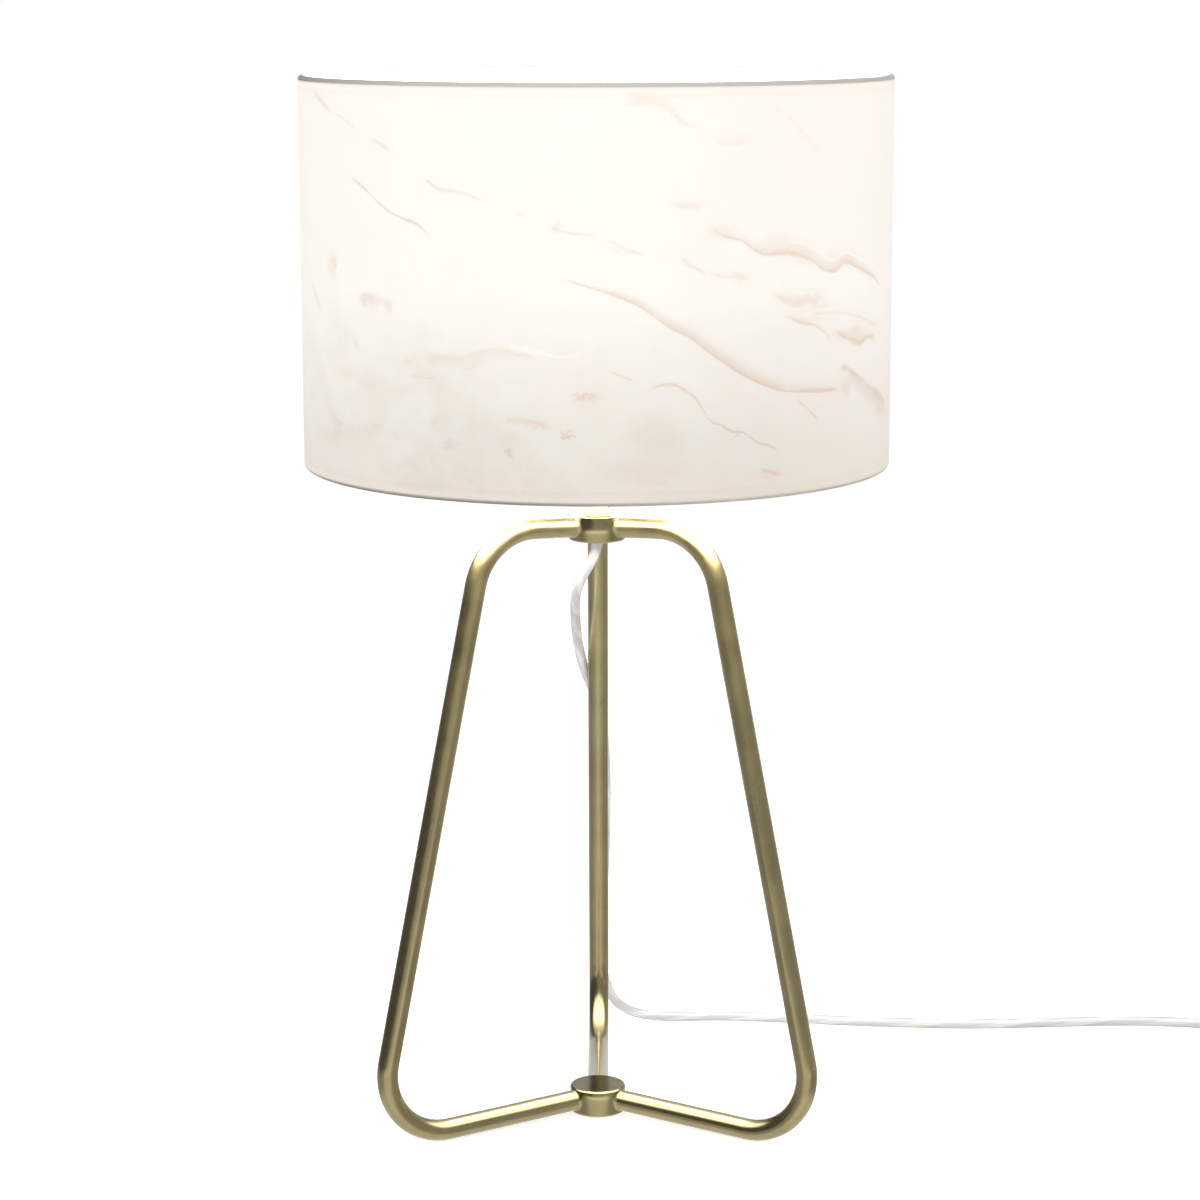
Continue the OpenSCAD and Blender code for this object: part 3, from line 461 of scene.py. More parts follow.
CURVE_TOP = 200.0
HEM_LINE = 6.6
PRINT_VEINS = [
    # points, line width, line strength, reach and strength of the soft band over it (under it
    # where the reach is negative), breaks, waviness
    ([(-123, 172), (-102, 163), (-78, 149), (-60, 145), (-38, 138), (-28, 135)],
     0.9, 0.55, 2, 0.08, 0.55, 0.5),
    ([(-24, 131), (-14, 129), (4, 127)], 0.7, 0.50, 3, 0.10, 0.0, 0.2),
    ([(2, 127), (13, 122), (28, 116), (42, 115), (52, 110), (72, 106)],
     0.9, 0.45, 4, 0.14, 0.5, 1.0),
    ([(34, 143), (44, 140), (54, 142)], 1.5, 0.40, 4, 0.20, 0.0, 0.4),
    ([(53, 134), (59, 128), (73, 123), (81, 118), (98, 117), (115, 112), (122, 108), (129, 107),
      (141, 110), (151, 107), (167, 102), (182, 95)], 1.3, 0.78, 11, 0.55, 0.0, 0.4),
    ([(-137, 152), (-125, 147), (-115, 141), (-106, 136), (-96, 133), (-87, 130), (-78, 119)],
     0.9, 0.80, 2, 0.08, 0.0, 0.12),
    ([(-16, 107), (2, 102), (20, 95), (29, 89), (36, 84), (44, 80), (55, 72), (64, 66), (76, 59),
      (88, 54), (98, 51), (112, 50), (138, 49)], 1.0, 0.80, 8, 0.62, 0.0, 0.15),
    ([(86, 99), (96, 95), (105, 94), (118, 91)], 0.9, 0.45, 5, 0.40, 0.2, 0.8),
    ([(95, 88), (105, 84), (117, 81), (127, 75), (131, 72)], 1.1, 0.70, 6, 0.35, 0.0, 0.4),
    ([(130, 77), (136, 76), (143, 73), (149, 71), (157, 70), (164, 72), (177, 70)],
     1.7, 0.80, 6, 0.60, 0.0, 0.4),
    ([(112, 86), (135, 86), (155, 82), (178, 75)], 0.7, 0.40, 2, 0.12, 0.2, 0.3),
    ([(108, 89), (130, 90), (150, 87), (172, 80)], 0.6, 0.32, 2, 0.10, 0.3, 0.3),
    ([(5, 64), (13, 62), (20, 59)], 0.8, 0.55, 2, 0.10, 0.0, 0.6),
    ([(24, 55), (36, 57), (45, 53), (51, 47), (56, 39), (61, 37), (67, 34), (73, 33), (81, 28),
      (91, 24), (96, 20)], 0.8, 0.65, 2, 0.10, 0.15, 0.5),
    ([(103, 46), (111, 42), (116, 38), (122, 33)], 0.9, 0.70, 2, 0.06, 0.0, 0.3),
    ([(81, 15), (89, 13), (97, 11)], 1.0, 0.65, 3, 0.12, 0.0, 0.4),
    ([(133, 50), (135, 57), (150, 55), (165, 49), (184, 41), (199, 35)],
     1.1, 0.6, -12, 0.75, 0.0, 0.7),
    ([(52, 111), (64, 107), (73, 107), (79, 102)], 1.2, 0.50, 3, 0.30, 0.0, 0.5),
    ([(88, 97), (99, 94), (110, 93), (118, 94)], 1.3, 0.50, 4, 0.30, 0.0, 0.9),
    ([(158, 106), (169, 96), (172, 91)], 0.8, 0.45, 2, 0.10, 0.0, 0.4),
    ([(-152, 183), (-139, 178), (-127, 172)], 0.8, 0.45, 2, 0.08, 0.3, 0.4),
    ([(8, 195), (25, 190), (32, 187), (38, 182), (48, 177)], 1.8, 0.34, 6, 0.26, 0.1, 0.6),
    ([(54, 172), (67, 168), (78, 173)], 1.0, 0.28, 7, 0.24, 0.0, 0.6),
    ([(82, 187), (90, 184), (98, 181), (108, 172), (122, 162)], 0.9, 0.32, 3, 0.12, 0.2, 0.4),
    ([(-178, 192), (-165, 187), (-150, 180)], 1.5, 0.55, 4, 0.28, 0.1, 0.5),
    ([(-198, 144), (-193, 128), (-189, 110)], 1.8, 0.55, 5, 0.16, 0.0, 0.4),
    ([(-188, 106), (-178, 93), (-164, 83)], 1.7, 0.40, 6, 0.26, 0.1, 0.8),
    ([(-84, 70), (-72, 68), (-62, 70), (-50, 74), (-40, 73), (-26, 69)],
     0.8, 0.42, -7, 0.30, 0.0, 0.7),
    ([(-99, 61), (-80, 59), (-64, 63), (-52, 69)], 0.8, 0.42, 3, 0.12, 0.2, 0.5),
    ([(-46, 41), (-32, 40), (-18, 37)], 2.0, 0.45, 2, 0.12, 0.0, 0.4),
    ([(-150, 60), (-128, 52), (-110, 55)], 1.4, 0.26, 7, 0.20, 0.3, 1.0),
    ([(-170, 40), (-140, 30), (-112, 33), (-96, 24)], 1.2, 0.24, -8, 0.22, 0.3, 1.0),
]
PRINT_CRESTS = [
    # points and strength of the white raised lines
    ([(-46, 79), (-36, 75), (-24, 72), (-14, 71), (2, 78)], 0.9),
    ([(58, 123), (68, 120), (78, 114)], 0.7),
    ([(96, 121), (106, 121), (118, 117), (128, 112), (140, 115), (152, 111), (168, 106)], 0.8),
    ([(28, 60), (38, 61), (46, 59), (52, 52)], 0.9),
    ([(70, 56), (84, 50), (98, 46)], 0.7),
]
PRINT_SPOTS = [
    # middle along the drum and up it, half width, half height, strength
    (-19, 131, 5, 1.8, 0.60), (13, 122, 3, 1.2, 0.45), (70, 107, 5, 2.2, 0.50),
    (43, 141, 8, 1.6, 0.35), (62, 128, 9, 4, 0.30), (92, 121, 13, 5, 0.30),
    (112, 114, 12, 4, 0.26), (142, 112, 12, 4, 0.22), (-154, 108, 4, 7, 0.55),
    (-120, 94, 9, 4, 0.60), (-108, 91, 4, 3, 0.45), (-133, 71, 3, 2, 0.55), (-94, 66, 4, 2, 0.42),
    (-74, 68, 12, 4, 0.34), (-90, 42, 2.2, 2, 0.45), (-71, 27, 4, 3.2, 0.40),
    (-40, 25, 2.6, 3, 0.55), (-12, 34, 2.6, 1.8, 0.65), (-4, 52, 8, 2.6, 0.60),
    (-31, 39, 12, 1.8, 0.34), (143, 49, 6, 5, 0.40), (186, 35, 10, 6, 0.40), (69, 31, 2, 1, 0.80),
    (21, 189, 7, 3, 0.32), (30, 33, 14, 12, 0.24), (24, 16, 26, 8, 0.24), (148, 75, 13, 4, 0.42),
    (112, 94, 8, 2.4, 0.50), (88, 12, 10, 4, 0.22), (-150, 24, 12, 5, 0.22),
]


def curve_level(f, along, points):
    """Height of a line through the points at a place along the drum, and its fade at both ends."""
    start = points[0][0]
    reach = points[-1][0] - start
    curve = f.add("ShaderNodeFloatCurve")
    line = curve.mapping.curves[0].points
    for knot, (u, h) in zip((line[0], line[-1]), (points[0], points[-1])):
        knot.location = ((u - start) / reach, h / CURVE_TOP)
    for u, h in points[1:-1]:
        line.new((u - start) / reach, h / CURVE_TOP)
    curve.mapping.update()
    share = f.span(along, start, start + reach, smooth=False)
    f.plug(curve.inputs["Value"], share)
    edge = min(0.3, 7 / reach)
    fade = f.times(f.span(share, 0, edge), f.span(share, 1 - edge, 1, 1.0, 0.0))
    return f.times(curve.outputs[0], CURVE_TOP), fade, share


def print_stain(f, along, height, wobble):
    """Adds up the veins and spots of the print. Returns the stain and the white raised lines."""
    stain, ridge = 0.0, 0.0
    drift = f.span(f.noise(0.22, detail=4, roughness=0.65), 0.3, 0.7, -2.2, 2.2)
    swells = [f.noise(0.055, detail=2, stretch=(1, 1 + 0.7 * i, 1)) for i in (0, 1, 2)]
    for number, (points, width, strength, reach, band, breaks, wave) in enumerate(PRINT_VEINS):
        level, fade, share = curve_level(f, along, points)
        over = f.scaled(wobble, wave, f.minus(height, level))
        if reach < 0:
            over = f.times(over, -1.0)
        swell = swells[number % 3]
        if breaks:
            gap = breaks * 0.34
            fade = f.times(fade, f.span(swell, 0.28 + gap, 0.38 + gap))
        thick = f.times(f.span(swell, 0.3, 0.7, 0.6, 1.7), width)
        core = f.span(f.calc("ABSOLUTE", over), f.times(thick, 0.3), thick, strength, 0.0)
        hump = f.calc("SINE", f.times(share, math.pi))
        soft = f.times(f.span(over, -0.5, 0.4, 0.0, band),
                       f.span(over, 0.2, f.times(hump, abs(reach)), 1.0, 0.0))
        soft = f.times(soft, f.span(swell, 0.25, 0.6, 0.55, 1.0))
        stain = f.larger(f.times(f.larger(core, soft), fade), stain)
    for points, strength in PRINT_CRESTS:
        level, fade, _ = curve_level(f, along, points)
        over = f.scaled(wobble, 0.6, f.minus(height, level))
        line = f.span(f.calc("ABSOLUTE", over), 0.2, 0.8, strength, 0.0)
        ridge = f.larger(f.times(line, fade), ridge)
    for u, h, wide, tall, strength in PRINT_SPOTS:
        across = f.calc("DIVIDE", f.minus(f.scaled(wobble, 2.4, along), u), wide)
        up = f.calc("DIVIDE", f.minus(f.plus(drift, height), h), tall)
        far = f.calc("SQRT", f.scaled(across, across, f.times(up, up)))
        stain = f.larger(f.span(far, 0.35, 1.25, strength, 0.0), stain)
    return stain, ridge


def marble_print(f, s, colour, along, height):
    """Lays the clouds, veins and raised lines of the print over the cloth's colour."""
    broad = f.minus(f.noise(0.07, detail=4, roughness=0.6), 0.5)
    fine = f.minus(f.noise(0.45, detail=3, roughness=0.6), 0.5)
    wobble = f.plus(f.times(broad, 9.0), f.times(fine, 3.4))
    stain, ridge = print_stain(f, along, height, wobble)
    lower_left = f.times(f.span(along, 90, -110), f.span(height, 125, 45))
    clouds = f.span(f.noise(0.028, detail=5, roughness=0.62, distortion=0.5), 0.40, 0.66)
    mottle = f.span(f.noise(0.11, detail=4, roughness=0.65, distortion=0.3), 0.38, 0.68)
    haze = f.times(f.scaled(clouds, 0.6, f.times(mottle, 0.4)), f.scaled(lower_left, 0.40, 0.08))
    colour = f.mix(haze, colour, s.cloud_colour)
    colour = f.mix(f.times(stain, 0.78), colour, s.vein_colour)
    return f.mix(f.times(ridge, 0.7), colour, (0.97, 0.95, 0.92))


def rim_painted_shade(f, s, colour, x, y, round_mm, height, tall):
    """Paints shade on the outer side of the rolled rims, darker towards the left. Returns the
    colour and where the edge is.
    """
    reach = f.calc("SQRT", f.scaled(x, x, f.times(y, y)))
    outer = f.span(reach, COVER_HIGH.x - 0.0026, COVER_HIGH.x - 0.0016)
    upper = f.times(outer, f.span(height, tall - 2.8, tall - 1.8))
    lower = f.times(outer, f.span(height, 2.6, 0.6))
    # painted shade on the upper rim: faint all round, growing to full towards the left and back
    dull = f.span(round_mm, -20, -215, smooth=False)
    dull = f.scaled(dull, f.times(dull, 0.92), 0.08)
    colour = f.mix(f.times(upper, dull), colour, s.roll_shade_colour)
    # painted shade on the lower rim: strongest on the left of the front, fading to the right and
    # back
    dull = f.times(f.span(round_mm, 70, -50), f.span(round_mm, -215, -150))
    colour = f.mix(f.times(lower, f.scaled(dull, 0.7, 0.3)), colour, s.lower_roll_shade_colour)
    return colour, f.larger(upper, lower)


def bulb_light(f, along, height, tall):
    """Light of the bulb that comes through the cover, brightest up, with painted glow added towards
    the drum's sides.
    """
    light = f.add("ShaderNodeValToRGB")
    f.plug(light.inputs[0], f.span(height, 0, tall, smooth=False))
    ramp = light.color_ramp
    ramp.elements[0].position, ramp.elements[0].color = 0.0, (0.20, 0.175, 0.15, 1)
    ramp.elements[1].position, ramp.elements[1].color = 1.0, (0.47, 0.455, 0.45, 1)
    for place, level in ((0.16, (0.235, 0.225, 0.21, 1)), (0.27, (0.30, 0.29, 0.275, 1)),
                         (0.5, (0.445, 0.445, 0.435, 1))):
        ramp.elements.new(place).color = level
    # painted light: extra glow towards the drum's sides, stronger low down, evens out the lamps'
    # fall-off there
    sides = f.times(f.span(f.calc("ABSOLUTE", along), 50, 200),
                    f.span(height, 30, 120, 0.16, 0.08))
    return f.mix(1.0, light.outputs[0], sides, "ADD")


def marble_cloth(s, name="marble_print", rolled=False):
    """Printed cover cloth over a stiff liner, with the bulb's light in its upper part.
    The rolled rims are plain, because the print is turned in there, and their outer edge carries
    painted shade and no glow."""
    f = Finish(name)
    x, y, z = f.split()
    radius = COVER_HIGH.x * 1000
    tall = (RIM_HIGH.z - RIM_LOW.z) * 1000
    round_mm = f.times(f.calc("ARCTAN2", x, f.times(y, -1.0)), radius)
    height = f.times(f.minus(z, RIM_LOW.z), 1000.0)
    # the print repeats once: the back half of the drum carries it again
    along = f.calc("WRAP", round_mm, math.pi * radius / 2, -math.pi * radius / 2)
    # all patterns from here on lie on the unrolled drum
    unrolled = f.add("ShaderNodeCombineXYZ")
    f.wire(unrolled, X=round_mm, Y=height)
    f.place = unrolled.outputs[0]

    thread = 2 * math.pi / (s.weave_pitch * 1000)
    weave = f.plus(f.calc("SINE", f.times(round_mm, thread)),
                   f.calc("SINE", f.times(height, thread)))
    slubs = f.plus(*[f.span(f.noise(1.0, detail=3, roughness=0.6, stretch=stretch), 0.35, 0.7)
                     for stretch in ((2.2, 0.05, 1), (0.04, 2.6, 1))])
    colour = f.mix(f.span(slubs, 0.2, 1.6, 0.0, 0.05), s.ground_colour, (0.62, 0.54, 0.46))
    if not rolled:
        colour = marble_print(f, s, colour, along, height)
    hem = f.plus(f.span(height, HEM_LINE - 0.2, HEM_LINE + 0.2, 1.0, 0.0),
                 f.span(height, tall - HEM_LINE - 0.2, tall - HEM_LINE + 0.2))
    near_line = f.calc("MINIMUM", *[f.calc("ABSOLUTE", f.minus(height, level))
                                    for level in (HEM_LINE, tall - HEM_LINE)])
    hem_mark = f.larger(f.times(hem, 0.16), f.span(near_line, 0.1, 0.4, 0.30, 0.0))
    colour = f.mix(hem_mark, colour, (0.78, 0.67, 0.56))
    # the rims' outer edge gets painted shade here
    if rolled:
        colour, edge = rim_painted_shade(f, s, colour, x, y, round_mm, height, tall)
    shine = f.mix(1.0, colour, bulb_light(f, along, height, tall), "MULTIPLY")
    # no glow where that painted shade lies
    if rolled:
        shine = f.mix(edge, shine, (0.0, 0.0, 0.0))
    f.set(Base_Color=colour, Roughness=f.span(slubs, 0, 2, 0.72, 0.86), Emission_Color=shine,
          Emission_Strength=s.glow, Sheen_Weight=0.08, Specular_IOR_Level=0.3)
    cloth = f.scaled(weave, 0.16, f.times(slubs, 0.5))
    return f.bump(f.scaled(hem, 1.6, cloth), 0.35, 0.00012).material


def white_liner():
    """Smooth white plastic film behind the cover, bright where the bulb shines on it."""
    f = Finish("white_liner")
    middle = (GLOBE_LOW.z + GLOBE_HIGH.z) / 2
    lit = f.span(f.calc("ABSOLUTE", f.minus(f.split()[2], middle)), 0.0, 0.14, 1.0, 0.25)
    sheet = f.noise(30, detail=3)
    f.set(Base_Color=f.mix(f.span(sheet, 0.3, 0.7), (0.88, 0.86, 0.82), (0.92, 0.90, 0.87)),
          Roughness=f.span(sheet, 0.3, 0.7, 0.38, 0.5),
          Emission_Color=f.mix(lit, (0.0, 0.0, 0.0), (1.0, 0.95, 0.86)),
          Emission_Strength=LINER_GLOW)
    return f.bump(f.noise(900, detail=2), 0.06, 0.00005).material


# Pieces of the stand


def leg_run(s):
    """Places of one leg in its own plane, as distance from the axis and height."""
    radius = s.bend_radius
    shoulder = Vector((s.shoulder_reach, TOP_HUB_LOW.z - s.shoulder_drop))
    foot = Vector((s.foot_reach, s.tube_diameter / 2 + radius))
    slant = math.atan2(foot.x - shoulder.x, shoulder.y - foot.y)
    return radius, shoulder, foot, slant


def build_leg(s, azimuth):
    """One tube from the upper hub to the lower one, with a weld skirt at both ends."""
    bm = bmesh.new()
    out = Vector((math.cos(azimuth), math.sin(azimuth), 0))
    side = out.cross(UP)
    radius, shoulder, foot, slant = leg_run(s)
    tube = s.tube_diameter / 2
    hub = TOP_HUB_HIGH.x

    def place(reach, height):
        return out * reach + UP * height

    def end_line(centre, rise, up):
        """Direction of an end's straight run, where its bend starts, and its place on the axis."""
        axis = place(math.cos(rise), up * math.sin(rise))
        tangent = centre + radius * Vector((-math.sin(rise), up * math.cos(rise)))
        start = place(tangent.x, tangent.y)
        return axis, start, start - axis * (tangent.x / math.cos(rise))

    def weld_rows(verts, axis_point, axis, low, high):
        """Places of each point of a ring, row by row from the weld's edge to the hub."""
        rise = axis.cross(side)
        if rise.z < 0:
            rise.negate()
        rows = []
        for v in verts:
            lat, ver = (v.co - axis_point).dot(side), (v.co - axis_point).dot(rise)
            throat = s.weld_size * (lat / tube) ** 2 + WELD_LEAST * (ver / tube) ** 2

            def on_hub(scale, extra):
                sideways, upward = lat * scale, ver * scale
                reach = math.sqrt(hub * hub - sideways * sideways) - (WELD_SINK if scale > 1 else 0)
                along = (reach - upward * rise.dot(out)) / axis.dot(out) + extra
                return axis_point + axis * along + side * sideways + rise * upward

            a, j, b = on_hub(1, throat), on_hub(1, 0), on_hub(1 + throat / tube, 0)
            b.z = min(max(b.z, low), high)
            rows.append([a * (1 - t) ** 2 + j * (2 * t * (1 - t)) + b * t * t for t in WELD_ROWS])
        return rows

    def extrude(edges):
        made = bmesh.ops.extrude_edge_only(bm, edges=edges)["geom"]
        return only(bmesh.types.BMVert, made), only(bmesh.types.BMEdge, made)

    def weld_to_hub(verts, edges, axis_point, axis, low, high):
        """Moves an open end of the tube to its weld's edge and draws it in rows to the hub."""
        rows = weld_rows(verts, axis_point, axis, low + HUB_CHAMFER, high - HUB_CHAMFER)
        places = dict(zip(verts, rows))
        for v, row in places.items():
            v.co = row[0]
        for step in range(1, len(WELD_ROWS)):
            before = {tuple(round(c, 9) for c in v.co): places[v] for e in edges for v in e.verts}
            verts, edges = extrude(edges)
            for v in verts:
                places[v] = before[tuple(round(c, 9) for c in v.co)]
                v.co = places[v][step]
        bmesh.ops.holes_fill(bm, edges=edges, sides=0)

    def bend(verts, edges, centre, angle, steps):
        return sweep(bm, verts, edges, place(*centre), side, -angle, steps)

    # upper weld skirt, starting from a ring on the tube
    axis, start, on_axis = end_line(shoulder, s.top_rise, 1)
    rotation = Matrix((side, axis.cross(side), axis)).transposed().to_4x4()
    ring = bmesh.ops.create_circle(bm, cap_ends=False, radius=tube, segments=40,
                                   matrix=Matrix.Translation(on_axis + axis * 0.02) @ rotation)
    edges = list(bm.edges)
    weld_to_hub(ring["verts"], edges, on_axis, axis, TOP_HUB_LOW.z, TOP_HUB_HIGH.z)

    # straight, shoulder bend, long straight, foot bend
    verts, edges = extrude(edges)
    for v in verts:
        rel = v.co - on_axis
        v.co = start + rel - axis * rel.dot(axis)
    edges = bend(verts, edges, shoulder, math.pi / 2 + s.top_rise - slant, 14)
    verts, edges = extrude(edges)
    fall = place(foot.x - shoulder.x, foot.y - shoulder.y)
    bmesh.ops.translate(bm, verts=verts, vec=fall)
    edges = bend(verts, edges, foot, math.pi / 2 + s.floor_rise + slant, 18)

    # floor straight up to the lower weld skirt
    axis, start, on_axis = end_line(foot, s.floor_rise, -1)
    verts, edges = extrude(edges)
    weld_to_hub(verts, edges, on_axis, axis, LOW_HUB_LOW.z, LOW_HUB_HIGH.z)
    bmesh.ops.recalc_face_normals(bm, faces=bm.faces)
    return bm


class LampLegs(bpy.types.Operator):
    """Builds the three bent leg tubes with their weld seams"""

    bl_idname = "lamp.legs"
    bl_label = "Legs"

    def execute(self, context):
        s = context.scene.lamp_stand
        brass = satin_brass(s.brass_colour, "brushed_brass", upper=1.55)
        for name, degrees in LEG_AZIMUTHS.items():
            bm = build_leg(s, math.radians(degrees))
            seat_piece(name, bm, brass, "stand", [name + "_tube"], sharp=60)
        return {"FINISHED"}


def hub_side(low, high):
    """Outline of a hub's chamfered side, from its underside to its top."""
    r = TOP_HUB_HIGH.x
    return [(r - HUB_CHAMFER, low), (r, low + HUB_CHAMFER), (r, high - HUB_CHAMFER),
            (r - HUB_CHAMFER, high)]


class LampHubs(bpy.types.Operator):
    """Builds the two turned hubs and the neck sleeve with rounded rims"""

    bl_idname = "lamp.hubs"
    bl_label = "Hubs and neck"

    def execute(self, context):
        s = context.scene.lamp_stand
        brass = satin_brass(s.brass_colour, "turned_brass", roughness=0.09)
        low, high = TOP_HUB_LOW.z, TOP_HUB_HIGH.z
        ceiling = low + HUB_RECESS_DEPTH
        upper = [(HUB_BORE_RADIUS, ceiling), (HUB_RECESS_RADIUS, ceiling),
                 (HUB_RECESS_RADIUS, low), *hub_side(low, high), (HUB_BORE_RADIUS, high)]
        low, high = LOW_HUB_LOW.z, LOW_HUB_HIGH.z
        lower = [(0, low), *hub_side(low, high), (0, high)]
        for name, node, points, bored in (("upper_hub", "top_hub", upper, True),
                                          ("lower_hub", "bottom_hub", lower, False)):
            bm = turn_on_axis(points, steps=128, closed=bored)
            round_edges(bm, HUB_ROUNDING)
            seat_piece(name, bm, brass, "stand", [node], sharp=20, caps=True)
        low, high, r = NECK_LOW.z, NECK_HIGH.z, NECK_HIGH.x
        bm = turn_on_axis([(NECK_BORE_RADIUS, low), (r, low), (r, high), (NECK_BORE_RADIUS, high)],
                          closed=True)
        round_edges(bm, NECK_ROUNDING, segments=3)
        # painted highlight: the neck gets a pale brass colour for the bulb's light on it, not its
        # own tone
        pale = satin_brass(s.neck_painted_light_colour, "neck_brass_painted_light", roughness=0.42)
        seat_piece("neck", bm, pale, "stand", ["neck_sleeve"], sharp=20)
        return {"FINISHED"}


# The shade


class LampShade(bpy.types.Operator):
    """Builds the printed cover with its lapped seam and the rolled rims"""

    bl_idname = "lamp.shade"
    bl_label = "Shade"

    def execute(self, context):
        s = context.scene.lamp_shade
        cloth = marble_cloth(s)
        rolled = marble_cloth(s, "rolled_rim", rolled=True)
        low, high, r = COVER_LOW.z, COVER_HIGH.z, COVER_HIGH.x
        outer = [(r, low + (high - low) * i / 8) for i in range(9)]
        bm = turn_on_axis(outer + [(r - CLOTH_THICKNESS, z) for z in (high, low)],
                          steps=288, closed=True)
        # lap of the cloth down the back, glued over the first turn
        lap = bmesh.new()
        verts, edges = outline(lap, [(r - GLUE_DEPTH, low), (r + LAP_HEIGHT, low),
                                     (r + LAP_HEIGHT, high), (r - GLUE_DEPTH, high)], closed=True)
        bmesh.ops.rotate(lap, verts=verts, cent=(0, 0, 0),
                         matrix=Matrix.Rotation(LAP_START, 3, "Z"))
        end = sweep(lap, verts, edges, (0, 0, 0), UP, LAP_WIDTH, steps=6)
        for rim in (edges, end):
            bmesh.ops.holes_fill(lap, edges=rim, sides=0)
        bmesh.ops.recalc_face_normals(lap, faces=lap.faces)
        seam = as_mesh("seam", lap)
        bm.from_mesh(seam)
        bpy.data.meshes.remove(seam)
        seat_piece("shade_printed_cover", bm, cloth, "shade", ["shade_cover"],
                   sharp=30)

        # each roll goes round its rim wire and turns in behind the liner
        roll, inner = ROLL_RADIUS, r - 0.0011
        for name, node, up, edge in (("shade_top_roll", "shade_top_hem", 1, RIM_HIGH.z),
                                     ("shade_bottom_roll", "shade_bottom_hem", -1, RIM_LOW.z)):
            centre = edge - up * roll
            bow = [math.radians(15 * i) for i in range(13)]
            points = [
                (r - 0.00015, centre - up * 0.0025), (r, centre - up * 0.0018),
                *[(r - roll + roll * math.cos(a), centre + up * roll * math.sin(a)) for a in bow],
                (r - 2 * roll + 0.0001, centre - up * 0.0012),
                (inner - 0.0004, centre - up * 0.0024), (inner - 0.0005, centre - up * 0.0044),
                (inner, centre - up * 0.0045), (inner + 0.0001, centre - up * 0.0025)]
            bm = turn_on_axis(points, steps=288, closed=True)
            seat_piece(name, bm, rolled, "shade", [node], sharp=50)
        return {"FINISHED"}


# The bulb


class LampBulb(bpy.types.Operator):
    """Builds the smooth opal globe of the bulb"""

    bl_idname = "lamp.bulb"
    bl_label = "Bulb"

    def execute(self, context):
        r = GLOBE_HIGH.x
        centre = GLOBE_HIGH.z - r
        foot = GLOBE_LOW.z - centre
        cut = math.asin(foot / r)

        def arc(radius, steps):
            """Points of a wall of the globe, from its open foot to just below its crown."""
            angles = [cut + (math.pi / 2 - cut) * i / steps for i in range(steps)]
            return [(radius * math.cos(a), centre + radius * math.sin(a)) for a in angles]

        inner = r - GLOBE_WALL
        crown = [(0, centre + r), (0, centre + inner)]
        bm = turn_on_axis(arc(r, 24) + crown + arc(inner, 12)[:0:-1]
                          + [(math.sqrt(inner ** 2 - foot ** 2), GLOBE_LOW.z)])
        bmesh.ops.holes_fill(bm, edges=[e for e in bm.edges if len(e.link_faces) == 1], sides=0)
        bmesh.ops.recalc_face_normals(bm, faces=bm.faces)
        seat_piece("opal_bulb_globe", bm, opal_glow(), "bulb", ["bulb_globe"],
                   sharp=40)
        return {"FINISHED"}


# The lead. Its points are those of the solids, in millimetres.

LANE = 390  # the switch, the coil and the plug lie one behind the other at this place
LIE = 2.7
COIL_TURNS, COIL_RINGS, COIL_INNER, COIL_PITCH, COIL_LAYER = 5, 24, 21.8, 6.2, 6
COIL_MIDDLE, COIL_LIE = -30, 3.5
LEAD_ROUTE = [
    (0, 0, 322), (0, 0, 309.2), (-1.6, 0.9, 301), (-6, 3.6, 292.2), (-9.8, 9.8, 283.6),
    (-11.5, 20, 275.4), (-11.9, 34, 267), (-11.9, 49, 258.5), (-11.5, 64, 249),
    (-10.6, 78.5, 237.5), (-7.6, 90.6, 222.3), (-1.8, 98.5, 205), (2.6, 103, 184), (4, 108, 160),
    (4, 113, 136), (3.5, 118.5, 112), (2.5, 124, 88), (1, 129.5, 66), (1.2, 134.5, 46),
    (3.6, 139.2, 29), (9.4, 144, 15.5), (19.6, 148.8, 7.2), (33, 152.4, 3.6), (50, 154.2, LIE),
    (70, 155, LIE), (92, 153, LIE), (116, 150, LIE), (140, 146, LIE), (165, 143, LIE),
    (190, 141, LIE), (215, 140, LIE), (240, 141, LIE), (265, 143, LIE), (290, 145, LIE),
    (315, 145, LIE), (340, 142, LIE), (362, 134, 3), (379, 119, 5), (389, 102, 8), (LANE, 86, 9),
    (LANE, 78, 9),
]
SWITCH_ROUTE = [
    (LANE, 34, 9), (LANE, 26, 9), (LANE, 14, 8), (LANE, 2, 5.5), (LANE, -10, 4),
    (LANE, -19.2, 3.5),
]
PLUG_ROUTE = [(LANE, -40.8, 9.5), (LANE, -48, 8.3), (LANE, -53, 6.85), (LANE, -58, 6.85)]


def coil_points():
    """Points of the coil: it spirals in on the table and out again one layer up."""
    half = COIL_TURNS / 2
    middle_x = LANE + COIL_INNER + COIL_PITCH * math.hypot(half, 0.1)
    points = [(LANE, -24.6, COIL_LIE)]
    for i in range(COIL_TURNS * COIL_RINGS + 1):
        t = i / COIL_RINGS
        r = COIL_INNER + COIL_PITCH * math.hypot(t - half, 0.1)
        a = math.pi + 2 * math.pi * t
        climb = min(max((t - half + 0.25) / 0.5, 0), 1)
        points.append((middle_x + r * math.cos(a), COIL_MIDDLE + r * math.sin(a),
                       COIL_LIE + COIL_LAYER * climb * climb * (3 - 2 * climb)))
    return points + [(LANE, -35.4, COIL_LIE + COIL_LAYER)]


def cord_route():
    """The whole lead from inside the hub, through the switch and the coil, to the plug."""
    points = LEAD_ROUTE + [(LANE, 56, 9)] + SWITCH_ROUTE + coil_points() + PLUG_ROUTE
    return [Vector(p) / 1000 for p in points]


